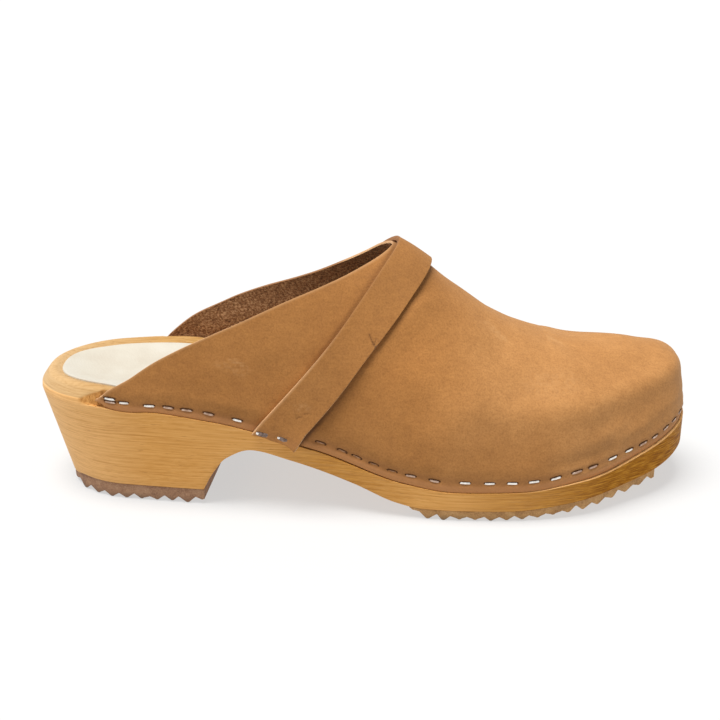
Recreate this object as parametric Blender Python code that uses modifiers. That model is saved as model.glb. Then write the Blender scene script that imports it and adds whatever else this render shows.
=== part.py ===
"""A wooden-soled leather clog for the right foot, standing empty on its sole.

+X points to the toe, +Y to the inner side of the foot and +Z up. Sizes are in
millimetres, with x counted from the back of the heel and z from the floor. They
become metres as each mesh is made, and the frame empty then centres the clog.
"""

from collections import namedtuple
from math import pi, radians

import bmesh
import bpy
import numpy as np
from mathutils import Vector

MM = 0.001
OBJECT_NAME = "leather_clog"

# Driving sizes
LENGTH = 262.0  # back of the heel to the tip of the toe
LEATHER = 2.2  # wall of the upper
STRAP_LEATHER = 2.0
GAP = 0.3  # clearance between pieces that lie on each other
HEEL_PIECE = 6.0  # rubber under the heel, teeth included
FOREFOOT_RUBBER = 3.9  # rubber under the forefoot, teeth included
HEEL_PAD = 0.8  # pad glued on the footbed

# The plan is round about a pole at each end and straight-sectioned between the poles
HEEL_POLE = 34.0
TOE_POLE = 202.0
END_POWER = 2.3  # 2 is an ellipse, more is squarer

# Half widths and spine of the plan, height of the ledge that the leather stands on,
# height of the crown that its sections rise to, and how square those sections are
Section = namedtuple("Section", "x lateral medial spine ledge crown square")
SECTIONS = (
    Section(0, 27.0, 29.0, 0.0, 40.3, 124.0, 1.7),
    Section(30, 31.0, 33.5, 0.0, 40.8, 125.0, 1.7),
    Section(70, 35.5, 37.0, 0.2, 36.8, 123.0, 1.7),
    Section(110, 37.5, 34.0, 0.0, 26.2, 110.0, 1.7),
    Section(145, 42.6, 40.0, 0.0, 14.8, 97.0, 1.75),
    Section(165, 45.6, 43.4, 0.5, 12.4, 81.7, 1.85),
    Section(190, 46.8, 45.2, 1.8, 12.8, 65.4, 2.0),
    Section(215, 44.6, 44.4, 4.0, 16.4, 58.3, 2.4),
    Section(240, 38.6, 42.0, 7.0, 22.0, 62.0, 2.2),
    Section(262, 37.0, 35.0, 10.0, 28.8, 76.0, 2.4),
)

# Underside of the wood in front of the heel: breast, arch, tread and toe spring.
# The breast lies aslant, so x is that of the lateral side and the medial side is further forward
BREAST = 66.4
BREAST_SLANT = 7.5
SLANT_FROM, SLANT_TO = 90.0, 130.0  # over this stretch of the arch the slant runs out
Underside = namedtuple("Underside", "x z")
UNDERSIDES = (
    Underside(BREAST, HEEL_PIECE + GAP),
    Underside(69.8, 13.0),
    Underside(75.8, 20.9),
    Underside(85.5, 25.0),
    Underside(100.5, 21.3),
    Underside(125.5, 12.7),
    Underside(142.0, 6.0),
    Underside(152.0, FOREFOOT_RUBBER + GAP),
    Underside(185.0, FOREFOOT_RUBBER + GAP),
    Underside(205.0, 5.8),
    Underside(225.0, 8.1),
    Underside(245.0, 11.3),
    Underside(LENGTH, 17.6),
)
SIDE_DRAFT = 0.10  # how far the side leans in for each millimetre down
UPRIGHT_FROM = 215.0  # from here to the tip of the toe the side comes upright
HEEL_RAKE = 4.6  # further lean of the heel's back

# Rim of the footbed, from the sole's edge inwards: bare at the heel, rebated under the leather.
# The rebate is scooped out just behind the foot of each flap
NOTCH_LENGTH = 8.0
NOTCH_LEAD = 4.0
REBATE = LEATHER + GAP
Lip = namedtuple("Lip", "bare_inset bare_rise seated_inset seated_rise")
LIPS = (
    Lip(0.0, 0.0, 0.0, 0.0),
    Lip(0.4, 2.0, REBATE, 0.0),
    Lip(1.2, 4.6, REBATE + 0.9, 4.6),
    Lip(2.7, 6.3, REBATE + 2.0, 6.2),
    Lip(5.0, 6.7, REBATE + 4.2, 6.5),
    Lip(8.2, 5.8, REBATE + 7.2, 5.6),
)
DISH = 4.2  # sag of the footbed inside its rim

# Back edge of the upper: x where the edge reaches each share of the rise to the crown
Collar = namedtuple("Collar", "rise lateral medial")
COLLAR = (
    Collar(0.00, 25.5, 41.5),
    Collar(0.08, 30.6, 47.5),
    Collar(0.17, 41.2, 55.8),
    Collar(0.30, 57.9, 72.4),
    Collar(0.45, 79.1, 90.1),
    Collar(0.65, 101.8, 111.3),
    Collar(0.85, 125.0, 129.8),
    Collar(0.95, 135.5, 136.6),
    Collar(1.00, 140.1, 140.1),
)

# Edges of the instep strap, in the same way
Strap = namedtuple("Strap", "rise rear front")
STRAP = (
    Strap(0.00, 86.4, 103.2),
    Strap(0.25, 101.1, 117.1),
    Strap(0.50, 115.2, 129.6),
    Strap(0.75, 127.9, 142.7),
    Strap(0.90, 135.6, 149.7),
    Strap(1.00, 141.2, 154.0),
)
STRAP_OVERHANG = 1.4  # how far its ends reach below the leather's edge

# Tread: rows of teeth across the width
TOOTH_PITCH = 6.3
TOOTH_TIP = 1.3
TOOTH_DEPTH = 1.6
TREAD_FROM, TREAD_TO = 147.5, 246.5
TREAD_INSET = 0.6

# Heel pad: share of the footbed's width that it covers, and its front edge
PAD_SHARE = 1.0
PAD_FRONT = 88.0

# Steps of the meshes, and shares of the way from the spine to an edge at which rings lie
HEEL_STEPS = 8
TOE_STEPS = 10
UNDER_HEEL_STEPS = 4
FRONT_STEPS = 15
UPPER_ROWS = 14
UPPER_COLUMNS = 18
STRAP_COLUMNS = 4
BREAST_STEPS = (1.4, 3.4, 6.0, 9.4, 14.0)  # distances in front of the heel
BASE_SHARES = (0.0, 0.35, 0.7, 1.0)
FOOTBED_SHARES = (0.7, 0.4, 0.0)
WELD = 0.001  # points this close are one
SHARP = radians(35)  # edges bent more than this stay sharp


def smooth(rows, column):
    """Curve through one column of a table against its first, never swinging past a row."""
    knots = np.array([row[0] for row in rows], float)
    values = np.array([getattr(row, column) for row in rows], float)
    steps = np.diff(knots)
    slopes = np.diff(values) / steps
    tangents = np.concatenate([slopes[:1], np.zeros(len(rows) - 2), slopes[-1:]])
    for i in range(1, len(rows) - 1):
        before, after = slopes[i - 1], slopes[i]
        if before * after > 0:
            tangents[i] = 2 * before * after / (before + after)

    def value(x):
        x = np.clip(x, knots[0], knots[-1])
        i = np.clip(np.searchsorted(knots, x, side="right") - 1, 0, len(rows) - 2)
        t = (x - knots[i]) / steps[i]
        return (
            values[i] * (1 + 2 * t) * (1 - t) ** 2
            + steps[i] * tangents[i] * t * (1 - t) ** 2
            + values[i + 1] * t**2 * (3 - 2 * t)
            + steps[i] * tangents[i + 1] * t**2 * (t - 1)
        )

    return value


def ease(start, end, x):
    """0 up to start, 1 from end, and a smooth step between."""
    t = np.clip((x - start) / (end - start), 0, 1)
    return t * t * (3 - 2 * t)


lateral = smooth(SECTIONS, "lateral")
medial = smooth(SECTIONS, "medial")
spine = smooth(SECTIONS, "spine")
ledge = smooth(SECTIONS, "ledge")
crown = smooth(SECTIONS, "crown")
square = smooth(SECTIONS, "square")
arch = smooth(UNDERSIDES, "z")


def underside(x):
    """Height of the wood's underside: flat under the heel, then the arch and the spring."""
    return np.where(x <= BREAST, HEEL_PIECE + GAP, arch(x))


def edge(x, side):
    """Where the sole's edge lies across the shoe: side is -1 lateral, +1 medial."""
    heel = np.clip((HEEL_POLE - x) / HEEL_POLE, 0, 1)
    toe = np.clip((x - TOE_POLE) / (LENGTH - TOE_POLE), 0, 1)
    share = np.maximum(1 - np.maximum(heel, toe) ** END_POWER, 0) ** (1 / END_POWER)
    return spine(x) + side * share * np.where(side < 0, lateral(x), medial(x))


def round_end(steps):
    """Shares of the way from a pole to its end, evenly spread round the rounded plan."""
    return np.sin(np.linspace(0, pi / 2, steps + 1)) ** (2 / END_POWER)


def leather(x, side, turn):
    """Outer face of the upper over the edge at x: turn is 0 at the sole, pi/2 on the crown."""
    power = 2 / square(x)
    reach = np.cos(turn) ** power
    rise = np.sin(turn) ** power
    middle_x = np.minimum(x, TOE_POLE)
    plan_x = middle_x + reach * (x - middle_x)
    plan_y = spine(middle_x) + reach * (edge(x, side) - spine(middle_x))
    low = ledge(x) + GAP
    return np.stack([plan_x, plan_y, low + rise * (crown(plan_x) - low)], axis=-1)


def flap_rise(turn):
    """Share of the rise to the crown that the turn gives in the sections behind the strap."""
    return np.sin(turn) ** (2 / SECTIONS[0].square)


def sole_ring():
    """The sole's outline once round from the back: x, side, plan points and inward normals."""
    heel_x = HEEL_POLE * (1 - round_end(HEEL_STEPS)[::-1])
    toe_x = TOE_POLE + (LENGTH - TOE_POLE) * round_end(TOE_STEPS)
    under_heel = np.linspace(HEEL_POLE, BREAST, UNDER_HEEL_STEPS + 1)
    breast = BREAST + np.array(BREAST_STEPS)
    front = np.linspace(breast[-1], TOE_POLE, FRONT_STEPS + 1)
    half = np.concatenate([heel_x, under_heel[1:], breast, front[1:], toe_x[1:]])
    x = np.concatenate([half, half[-2:0:-1]])
    side = np.concatenate([-np.ones(len(half)), np.ones(len(half) - 2)])
    plan = np.stack([x, edge(x, side)], axis=1)
    along = np.roll(plan, -1, axis=0) - np.roll(plan, 1, axis=0)
    inward = np.stack([-along[:, 1], along[:, 0]], axis=1)
    inward /= np.linalg.norm(inward, axis=1, keepdims=True)
    return x, side, plan, inward


def ring_spine(x):
    """Point of the spine that each point of the outline turns about."""
    middle_x = np.clip(x, HEEL_POLE, TOE_POLE)
    return np.stack([middle_x, spine(middle_x)], axis=1)


def breast_slant(x):
    """How far forward of the lateral side the medial side of the underside lies."""
    return BREAST_SLANT * ease(HEEL_POLE, BREAST, x) * (1 - ease(SLANT_FROM, SLANT_TO, x))


def sole_base():
    """Outline of the wood's underside, leaning in from the sole's edge."""
    x, side, plan, inward = sole_ring()
    draft = SIDE_DRAFT * (1 - ease(UPRIGHT_FROM, LENGTH, x))
    base = plan + inward * (draft * (ledge(x) - underside(x)))[:, None]
    base[:, 0] += HEEL_RAKE * np.clip(1 - x / BREAST, 0, 1)
    base[:, 0] += np.where(side > 0, breast_slant(x), 0)
    return base


def lip_ring(lip):
    """One ring of the footbed's rim."""
    x, side, plan, inward = sole_ring()
    notch_end = np.where(side < 0, COLLAR[0].lateral, COLLAR[0].medial) - NOTCH_LEAD
    seated = ease(notch_end - NOTCH_LENGTH, notch_end, x)
    inset = lip.bare_inset + seated * (lip.seated_inset - lip.bare_inset)
    rise = lip.bare_rise + seated * (lip.seated_rise - lip.bare_rise)
    return np.column_stack([plan + inward * inset[:, None], ledge(x) + rise])


def footbed_ring(share):
    """One ring of the dished footbed: share is 1 at the rim and 0 on the spine."""
    x = sole_ring()[0]
    rim = lip_ring(LIPS[-1])
    middle = ring_spine(x)
    plan = middle + share * (rim[:, :2] - middle)
    spine_rise = LIPS[-1].seated_rise - DISH
    rim_rise = rim[:, 2] - ledge(rim[:, 0])
    rise = spine_rise + share**2 * (rim_rise - spine_rise)
    return np.column_stack([plan, ledge(plan[:, 0]) + rise])


def base_ring(share):
    """One ring of the underside: share is 1 at its edge and 0 on the spine."""
    x = sole_ring()[0]
    middle = ring_spine(x)
    middle[:, 0] += breast_slant(x) / 2
    plan = middle + share * (sole_base() - middle)
    return np.column_stack([plan, underside(np.where(x > TOE_POLE, plan[:, 0], x))])


def grid_mesh(name, grid, closed):
    """Mesh of quads over a grid of points, welded where its rows run together."""
    rows, columns = grid.shape[:2]
    bm = bmesh.new()
    verts = [[bm.verts.new(Vector(point) * MM) for point in row] for row in grid]
    for i in range(rows - 1):
        for j in range(columns if closed else columns - 1):
            k = (j + 1) % columns
            bm.faces.new((verts[i][j], verts[i][k], verts[i + 1][k], verts[i + 1][j]))
    bmesh.ops.remove_doubles(bm, verts=bm.verts, dist=WELD * MM)
    return finish_mesh(name, bm)


def prism_mesh(name, outline, across):
    """Closed prism of an outline of 3D points, drawn along the vector across."""
    bm = bmesh.new()
    face = bm.faces.new([bm.verts.new(Vector(point) * MM) for point in outline])
    drawn = bmesh.ops.extrude_face_region(bm, geom=[face])
    moved = [item for item in drawn["geom"] if isinstance(item, bmesh.types.BMVert)]
    bmesh.ops.translate(bm, verts=moved, vec=Vector(across) * MM)
    bmesh.ops.recalc_face_normals(bm, faces=bm.faces)
    return finish_mesh(name, bm)


def finish_mesh(name, bm):
    mesh = bpy.data.meshes.new(name)
    bm.to_mesh(mesh)
    bm.free()
    mesh.shade_smooth()
    mesh.set_sharp_from_angle(angle=SHARP)
    return mesh


def material(name, colour, roughness):
    """A plain finish: colour is linear red, green and blue."""
    finish = bpy.data.materials.new(name)
    finish.use_nodes = True
    shader = finish.node_tree.nodes["Principled BSDF"]
    shader.inputs["Base Color"].default_value = (*colour, 1.0)
    shader.inputs["Roughness"].default_value = roughness
    shader.inputs["Metallic"].default_value = 0.0
    return finish


def add_piece(name, mesh, collection, finish=None):
    piece = bpy.data.objects.new(name, mesh)
    collection.objects.link(piece)
    if finish:
        mesh.materials.append(finish)
    return piece


def thicken(piece, thickness, outward):
    """Turn an open sheet into a wall, keeping its sheet as the inner or the outer face."""
    wall = piece.modifiers.new("wall", "SOLIDIFY")
    wall.thickness = thickness * MM
    wall.offset = 1.0 if outward else -1.0
    wall.use_even_offset = True
    wall.use_rim = True


def lift(piece, height):
    """Move a sheet off the face that it was drawn on, along its normals."""
    off = piece.modifiers.new("clearance", "DISPLACE")
    off.mid_level = 0.0
    off.strength = height * MM


def make_wood_sole(parts):
    """One block: underside, leaning side, rim with its rebate and dished footbed."""
    rings = [base_ring(share) for share in BASE_SHARES]
    rings += [lip_ring(lip) for lip in LIPS]
    rings += [footbed_ring(share) for share in FOOTBED_SHARES]
    mesh = grid_mesh("wood_sole", np.array(rings), closed=True)
    return add_piece("wood_sole", mesh, parts, material("alder", (0.56, 0.33, 0.13), 0.5))


def make_upper(parts):
    """One skin from flap to flap round the toe, open at the back and underneath."""
    turn = np.linspace(0, pi / 2, UPPER_ROWS + 1)
    along = np.linspace(0, 1, UPPER_COLUMNS + 1)[:, None]
    flaps = {}
    for side, column in ((-1, "lateral"), (1, "medial")):
        back = smooth(COLLAR, column)(flap_rise(turn))
        x = back + along * (TOE_POLE - back)
        flaps[side] = leather(x, side, np.broadcast_to(turn, x.shape))
    toe_x = TOE_POLE + (LENGTH - TOE_POLE) * round_end(TOE_STEPS)[1:]
    toe_x = np.concatenate([toe_x, toe_x[-2::-1]])[:, None]
    toe_side = np.where(np.arange(len(toe_x)) < TOE_STEPS, -1, 1)[:, None]
    toe = leather(toe_x, toe_side, turn[None, :])
    columns = np.concatenate([flaps[-1], toe, flaps[1][::-1]])
    mesh = grid_mesh("upper", columns.transpose(1, 0, 2), closed=False)
    piece = add_piece("upper", mesh, parts, material("nubuck", (0.38, 0.17, 0.06), 0.8))
    thicken(piece, LEATHER, outward=False)
    return piece


def make_strap(parts):
    """A band over the instep, drawn on the upper's own face and lifted off it."""
    turn = np.linspace(0, pi / 2, UPPER_ROWS + 1)
    across = np.linspace(0, 1, STRAP_COLUMNS + 1)[:, None]
    rear = smooth(STRAP, "rear")(flap_rise(turn))
    front = smooth(STRAP, "front")(flap_rise(turn))
    x = rear + across * (front - rear)
    over = {}
    for side in (-1, 1):
        band = leather(x, side, np.broadcast_to(turn, x.shape))
        foot = band[:, :1] - np.array([0.0, 0.0, STRAP_OVERHANG])
        over[side] = np.concatenate([foot, band], axis=1)
    band = np.concatenate([over[-1], over[1][:, -2::-1]], axis=1)
    mesh = grid_mesh("strap", band.transpose(1, 0, 2), closed=False)
    piece = add_piece("strap", mesh, parts, material("strap_nubuck", (0.38, 0.17, 0.06), 0.8))
    lift(piece, GAP)
    thicken(piece, STRAP_LEATHER, outward=True)
    return piece


def rubber_top(x):
    """Top of the rubber, just under the wood."""
    return float(underside(x)) - GAP


def toothed_profile(x_from, x_to, thickness):
    """Side view of a ribbed sheet: teeth along its underside, and its smooth top."""
    teeth = round((x_to - x_from) / TOOTH_PITCH)
    pitch = (x_to - x_from - TOOTH_TIP) / teeth
    low = []
    for i in range(teeth + 1):
        start = x_from + i * pitch
        tip = rubber_top(start + TOOTH_TIP / 2) - thickness
        low += [(start, tip), (start + TOOTH_TIP, tip)]
        if i < teeth:
            valley = start + (pitch + TOOTH_TIP) / 2
            low.append((valley, rubber_top(valley) - thickness + TOOTH_DEPTH))
    high_x = np.linspace(x_to, x_from, teeth + 1)
    return low + [(x, rubber_top(x)) for x in high_x]


def make_ribbed_rubber(name, parts, cutters, x_from, x_to, thickness, slant, finish):
    """A ribbed sheet as wide as the wood above it, with ribs slanted this much in its width."""
    reach = lateral(x_to) + medial(x_to)
    aslant = slant / reach
    profile = toothed_profile(x_from, x_to, thickness)
    back = aslant * (reach - lateral(x_to))
    outline = [(x - back, -reach, z) for x, z in profile]
    mesh = prism_mesh(name, outline, (2 * reach * aslant, 2 * reach, 0))
    piece = add_piece(name, mesh, parts, finish)
    x = sole_ring()[0]
    middle = ring_spine(x)
    base = sole_base()
    inset = base + TREAD_INSET * (middle - base) / np.linalg.norm(middle - base, axis=1)[:, None]
    low, high = -HEEL_PIECE, SECTIONS[0].ledge
    outline = [(px, py, low) for px, py in inset]
    plan = prism_mesh(name + "_plan", outline, (0, 0, high - low))
    cutter = add_piece(name + "_plan", plan, cutters)
    cutter.hide_render = True
    cutter.display_type = "WIRE"
    trim = piece.modifiers.new("plan", "BOOLEAN")
    trim.operation = "INTERSECT"
    trim.object = cutter
    return piece


def make_heel_pad(parts):
    """A thin pad on the footbed, round at the back and cut straight in front."""
    x, side, _, _ = sole_ring()
    behind = x <= PAD_FRONT
    order = np.concatenate([np.flatnonzero(behind & (side > 0)), np.flatnonzero(behind & (side < 0))])
    rings = [footbed_ring(share * PAD_SHARE)[order] for share in (1.0, *FOOTBED_SHARES)]
    mesh = grid_mesh("heel_pad", np.array(rings), closed=False)
    piece = add_piece("heel_pad", mesh, parts, material("pad_white", (0.8, 0.78, 0.72), 0.6))
    lift(piece, GAP)
    thicken(piece, HEEL_PAD, outward=True)
    return piece


def collection_named(name):
    made = bpy.data.collections.new(name)
    bpy.context.scene.collection.children.link(made)
    return made


def centre_on_floor(pieces, parts, cutters):
    """Hang pieces and cutters on an empty that puts the middle of their box over the origin."""
    bpy.context.view_layer.update()
    graph = bpy.context.evaluated_depsgraph_get()
    corners = []
    for piece in pieces:
        mesh = piece.evaluated_get(graph).to_mesh()
        corners += [vertex.co.copy() for vertex in mesh.vertices]
    low = np.min(corners, axis=0)
    high = np.max(corners, axis=0)
    frame = bpy.data.objects.new("clog_frame", None)
    parts.objects.link(frame)
    frame.location = (-(low[0] + high[0]) / 2, -(low[1] + high[1]) / 2, 0.0)
    for hung in pieces + list(cutters.objects):
        hung.parent = frame


def main():
    for old in list(bpy.data.objects):
        bpy.data.objects.remove(old)
    parts = collection_named(OBJECT_NAME)
    cutters = collection_named(OBJECT_NAME + "_cutters")
    rubber = material("rubber", (0.16, 0.10, 0.075), 0.7)
    heel_back = sole_base()[:, 0].min() - BREAST_SLANT
    pieces = [
        make_wood_sole(parts),
        make_upper(parts),
        make_strap(parts),
        make_ribbed_rubber(
            "heel_rubber", parts, cutters, heel_back, BREAST, HEEL_PIECE, BREAST_SLANT, rubber
        ),
        make_ribbed_rubber(
            "forefoot_rubber", parts, cutters, TREAD_FROM, TREAD_TO, FOREFOOT_RUBBER, 0.0, rubber
        ),
        make_heel_pad(parts),
    ]
    centre_on_floor(pieces, parts, cutters)


main()
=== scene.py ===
"""Looks of the leather clog: fine meshes of the part's own shapes, and their finishes.

Sizes are in millimetres in the shoe's own axes: x from the back of the heel, y to the
inner side of the foot, z from the floor. They become metres as each mesh is made.
"""

from collections import namedtuple
from math import cos, pi, radians, sin

import bmesh
import bpy
import numpy as np
from mathutils import Matrix, Vector


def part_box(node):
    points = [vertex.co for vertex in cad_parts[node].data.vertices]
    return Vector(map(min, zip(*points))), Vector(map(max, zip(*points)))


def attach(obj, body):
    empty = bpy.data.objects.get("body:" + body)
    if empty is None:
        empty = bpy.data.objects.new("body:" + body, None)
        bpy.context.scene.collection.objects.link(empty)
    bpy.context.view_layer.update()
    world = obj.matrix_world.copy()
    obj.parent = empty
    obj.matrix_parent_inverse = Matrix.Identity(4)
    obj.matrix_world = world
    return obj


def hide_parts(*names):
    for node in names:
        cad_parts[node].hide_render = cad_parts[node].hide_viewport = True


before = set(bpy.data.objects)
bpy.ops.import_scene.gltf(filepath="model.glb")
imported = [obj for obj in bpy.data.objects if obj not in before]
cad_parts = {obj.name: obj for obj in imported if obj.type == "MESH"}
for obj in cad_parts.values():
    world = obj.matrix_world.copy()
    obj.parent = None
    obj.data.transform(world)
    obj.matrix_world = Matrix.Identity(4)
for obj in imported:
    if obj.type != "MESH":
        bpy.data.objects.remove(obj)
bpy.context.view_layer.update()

MM = 0.001
BODY = "root"
SIDES = (-1, 1)  # outer and inner side of the shoe


def table(fields, *rows):
    """Rows of values as records whose values have names."""
    record = namedtuple("Record", fields)
    return tuple(record(*row) for row in rows)


# A pair named OVER holds the start and end of a smooth step, one named BUMP the middle and half
# width of a soft bump, and one named VARIES the limits of a small random difference

# Driving sizes, as in the part
LENGTH = 262.0
LEATHER = 2.2
STRAP_LEATHER = 2.0
GAP = 0.3
HEEL_PIECE = 6.0
FOREFOOT_RUBBER = 3.9
HEEL_PAD = 0.8
HEEL_POLE = 34.0
TOE_POLE = 202.0
END_POWER = 2.3

SECTIONS = table(
    "x lateral medial spine ledge crown square",
    (0, 27, 29, 0, 40.3, 124, 1.7),
    (30, 31, 33.5, 0, 40.8, 125, 1.7),
    (70, 35.5, 37, 0.2, 36.8, 123, 1.7),
    (110, 37.5, 34, 0, 26.2, 110, 1.7),
    (145, 42.6, 40, 0, 14.8, 97, 1.75),
    (165, 45.6, 43.4, 0.5, 12.4, 81.7, 1.85),
    (190, 46.8, 45.2, 1.8, 12.8, 65.4, 2),
    (215, 44.6, 44.4, 4, 16.4, 58.3, 2.4),
    (240, 38.6, 42, 7, 22, 62, 2.2),
    (262, 37, 35, 10, 28.8, 76, 2.4),
)

BREAST = 66.4
BREAST_SLANT = 7.5
SLANT_END_OVER = (90.0, 130.0)
UNDERSIDES = table(
    "x z",
    (BREAST, HEEL_PIECE + GAP),
    (69.8, 13),
    (75.8, 20.9),
    (85.5, 25),
    (100.5, 21.3),
    (125.5, 12.7),
    (142, 6),
    (152, FOREFOOT_RUBBER + GAP),
    (185, FOREFOOT_RUBBER + GAP),
    (205, 5.8),
    (225, 8.1),
    (245, 11),
    (LENGTH, 15.8),
)
SIDE_DRAFT = 0.10
UPRIGHT_FROM = 215.0
HEEL_RAKE = 6.7

# Where the ledge under the leather's foot leaves its even line
FLAP_DIP = 1.6
FLAP_DIP_BUMP = (37.5, 8.0)
INNER_LIFT = 2.0
INNER_LIFT_OVER = (28.0, 60.0)
INNER_DROP_OVER = (85.0, 130.0)
TOE_DIP = 1.0
TOE_DIP_OVER = (200.0, 228.0)

# Rim of the footbed from the ledge's corner up: bare at the heel, set back under the leather
REBATE = LEATHER + GAP
CUT_FACE_TO = 2.0  # place up the rim where the cut face of the rebate ends
LIPS = table(
    "place bare_inset bare_rise seated_inset seated_rise",
    (0, 0, 0, REBATE, 0),
    (0.5, 0.15, 1.9, REBATE + 0.15, 2.3),
    (0.7, 0.55, 2.6, REBATE + 0.4, 3.2),
    (1, 1.5, 4.1, REBATE + 0.9, 4.5),
    (CUT_FACE_TO, 3.2, 6.1, REBATE + 1.4, 6.1),
    (3, 5.3, 6.7, REBATE + 3.2, 6.6),
    (4, 8.2, 5.8, REBATE + 6.1, 5.7),
)
DISH = 4.2
NOTCH_LENGTH = {-1: 7.6, 1: 12.0}  # run-out of the rebate behind the foot of each flap
NOTCH_LEAD = -0.6
NOTCH_POWER = 0.9
NOTCH_DEPTH = 1.3
NOTCH_SEAT_OVER = (0.2, 2.6)  # past the flap's end the rebate deepens to the leather's thickness
NOTCH_SEEN = 3.0
CORNER_PLACE = 0.5  # place of the bare rim's corner, which runs down to the ledge at the notch
CORNER_FADE = 1.2

COLLAR = table(
    "rise lateral medial",
    (0.00, 25.5, 41.5),
    (0.08, 30.6, 47.5),
    (0.17, 41.2, 55.8),
    (0.30, 57.9, 72.4),
    (0.45, 79.1, 90.1),
    (0.65, 101.8, 111.3),
    (0.85, 125, 129.8),
    (0.95, 135.5, 136.6),
    (1.00, 140.1, 140.1),
)
FLAP_END = {-1: COLLAR[0].lateral, 1: COLLAR[0].medial}

STRAP = table(
    "rise rear front",
    (0.00, 86.4, 103.2),
    (0.25, 101.1, 117.1),
    (0.50, 115.2, 129.6),
    (0.75, 127.9, 142.7),
    (0.90, 135.6, 149.7),
    (1.00, 141.2, 154),
)
STRAP_HANG = 0.5  # how far its feet reach below the leather's
CORNER_HANG = 1.3
CORNER_HANG_POWER = 10
HANG_UP = 6.0  # how high up the strap that reach begins
# pale band along the strap's rear edge: painted highlight of its lit cut edge, partly wear
STRAP_WEAR_AND_HIGHLIGHT_OVER = (0.01, 0.065)
STRAP_DUSK_OVER = (32.0, 58.0)  # above these heights the painted highlight along its rear edge fades and its cut edges grow darker
STRAP_DUSK_SHARE = 0.8  # share of the painted highlight that is gone where the edge grows darker
INNER_DUSK_OVER = (90.0, 97.0)  # the inner flap's cut edge is dull up to here
STRAP_LIFT = 0.12  # how far it stands off the upper, and how much more along its edges
FRONT_LIFT, FRONT_LIFT_LOW = 0.2, 0.8
FRONT_LIFT_BUMP = (12.0, 16.0)
REAR_LIFT = 0.45
REAR_LIFT_OVER = (30.0, 90.0)
EDGE_LIFT_POWER = 3
CORNER_OUT = {-1: 1.2, 1: 0.9}  # its lower front corner on each side
CORNER_OUT_BUMP = (0.0, 5.0)
CORNER_OUT_POWER = 5
STRAP_RIPPLE = (0.10, 12.0)  # height and size
STRAP_RIPPLE_OVER = (2.0, 10.0)

TOOTH_PITCH = 6.3
TOOTH_TIP = 1.3
TREAD_FROM, TREAD_TO = 147.5, 246.5
TREAD_INSET = 0.6
TREAD_ROUND = 0.3
VALLEY_DEPTH = 2.0
TOOTH_WEAR = 0.55
TOOTH_WANDER = 0.45
TOOTH_SHAPE = ((-0.95, 0.42), (-0.5, 0.10), (0.0, 0.0), (0.5, 0.10), (0.95, 0.42))
VALLEY_SHAPE = ((-0.4, 0.2), (0.0, 0.0), (0.4, 0.2))
VALLEY_VARIES = (0.75, 1.25)
QUARTERS = (0.25, 0.5, 0.75)
Ends = namedtuple("Ends", "rear_lift rear_run front_lift front_run")
HEEL_ENDS = Ends(2.0, 6.0, 1.5, 5.0)  # how far up the ends of each rubber are worn or cut off
TREAD_ENDS = Ends(3.2, 6.0, 0.0, 1.0)
SEAM = 0.05  # dark line between the wood and the rubber
SEAM_SAG = 1.9  # dip of that line at the back of the heel
SEAM_SAG_OVER = (1.0, 11.0)
PAD_FRONT = 88.0
PAD_SKIP = 1.2  # length past the breast where the sole's columns are too close for the pad
PAD_EVENED = 5  # points on each side in the mean that smooths its outline
PAD_NARROW = 0.06  # how far its sides stay off the rim
PAD_NARROW_OVER = (2.0, 20.0)
PAD_EDGE = ((1.0, 0.02), (1.0, 0.5), (0.994, 0.85), (0.98, 1.0), (0.93, 1.05))  # share and height
PAD_TOP_FROM = 0.85
PAD_TOP_STEPS = 10

# Staples: how much of each shines, and the places of each look along the outer edge
BRIGHT, DULL, DEEP, SHADED, SMALL = range(5)
Staple = namedtuple("Staple", "x look drop", defaults=(0.0,))
OUTER_PLACES = {
    BRIGHT: (37.0, 46.8, 80.7, 168.0, 177.4, 186.1, 194.5, 203.0, 226.4, 233.6),
    DULL: (54.2, 61.3, 69.7, 147.2, 156.2, 211.4, 218.0, 239.9),
    DEEP: (112.6, 120.8, 126.4, 133.0, 140.1),
    SMALL: (245.3, 250.6, 254.8, 258.4),
}
OUTER_FIRST = Staple(31.6, DULL, 0.85)  # rearmost, set lower
STAPLES = sorted([OUTER_FIRST, *(Staple(x, look) for look, row in OUTER_PLACES.items() for x in row)])
INNER_FIRST = Staple(50.4, BRIGHT)  # rearmost on the inner flap
STRAP_STAPLES = ((90.3, 1.6), (98.4, 1.9))  # place and rise
TIP_PITCH = 7.2  # along the edge round the tip of the toe
STAPLE_RISE = 3.8  # line of the staples above the leather's foot
FLAP_STAPLE_RISE = 2.9
VAMP_RISE_OVER = (88.0, 108.0)
STAPLE_SAG = 0.9
STAPLE_SAG_BUMP = (42.0, 11.0)
TOE_STAPLE_DROP = 1.1
TOE_STAPLE_OVER = (232.0, 246.0)
DOUBLED_RISE = 1.65  # a second staple over the first, at the flap's corner
WIRE_THICK = 0.5
WIRE_CORNER = 0.16
WIRE_BEND = 0.55
WIRE_BOW = 0.10
BEND_STEPS = 5
LEG = 0.8
LENGTH_VARIES = (0.93, 1.07)
TILT_VARIES = (-5.0, 5.0)
RISE_VARIES = (-0.25, 0.25)
DEPTH_VARIES = (0.0, 0.08)
GROOVE_DEPTH = 0.25  # pressed line of the staples
GROOVE_HALF = 1.3
PRESSED_HALF = 2.0  # of the leather that the line has darkened, partly pressed and partly painted shade in the groove
DENT_DEPTH = 0.50  # dent of the leather under a staple
DENT_HALF, DENT_TALL = 2.9, 1.1
STRAP_DENT = 0.30
WIRE_PROUD = 0.26  # middle of the wire above the dent
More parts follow.
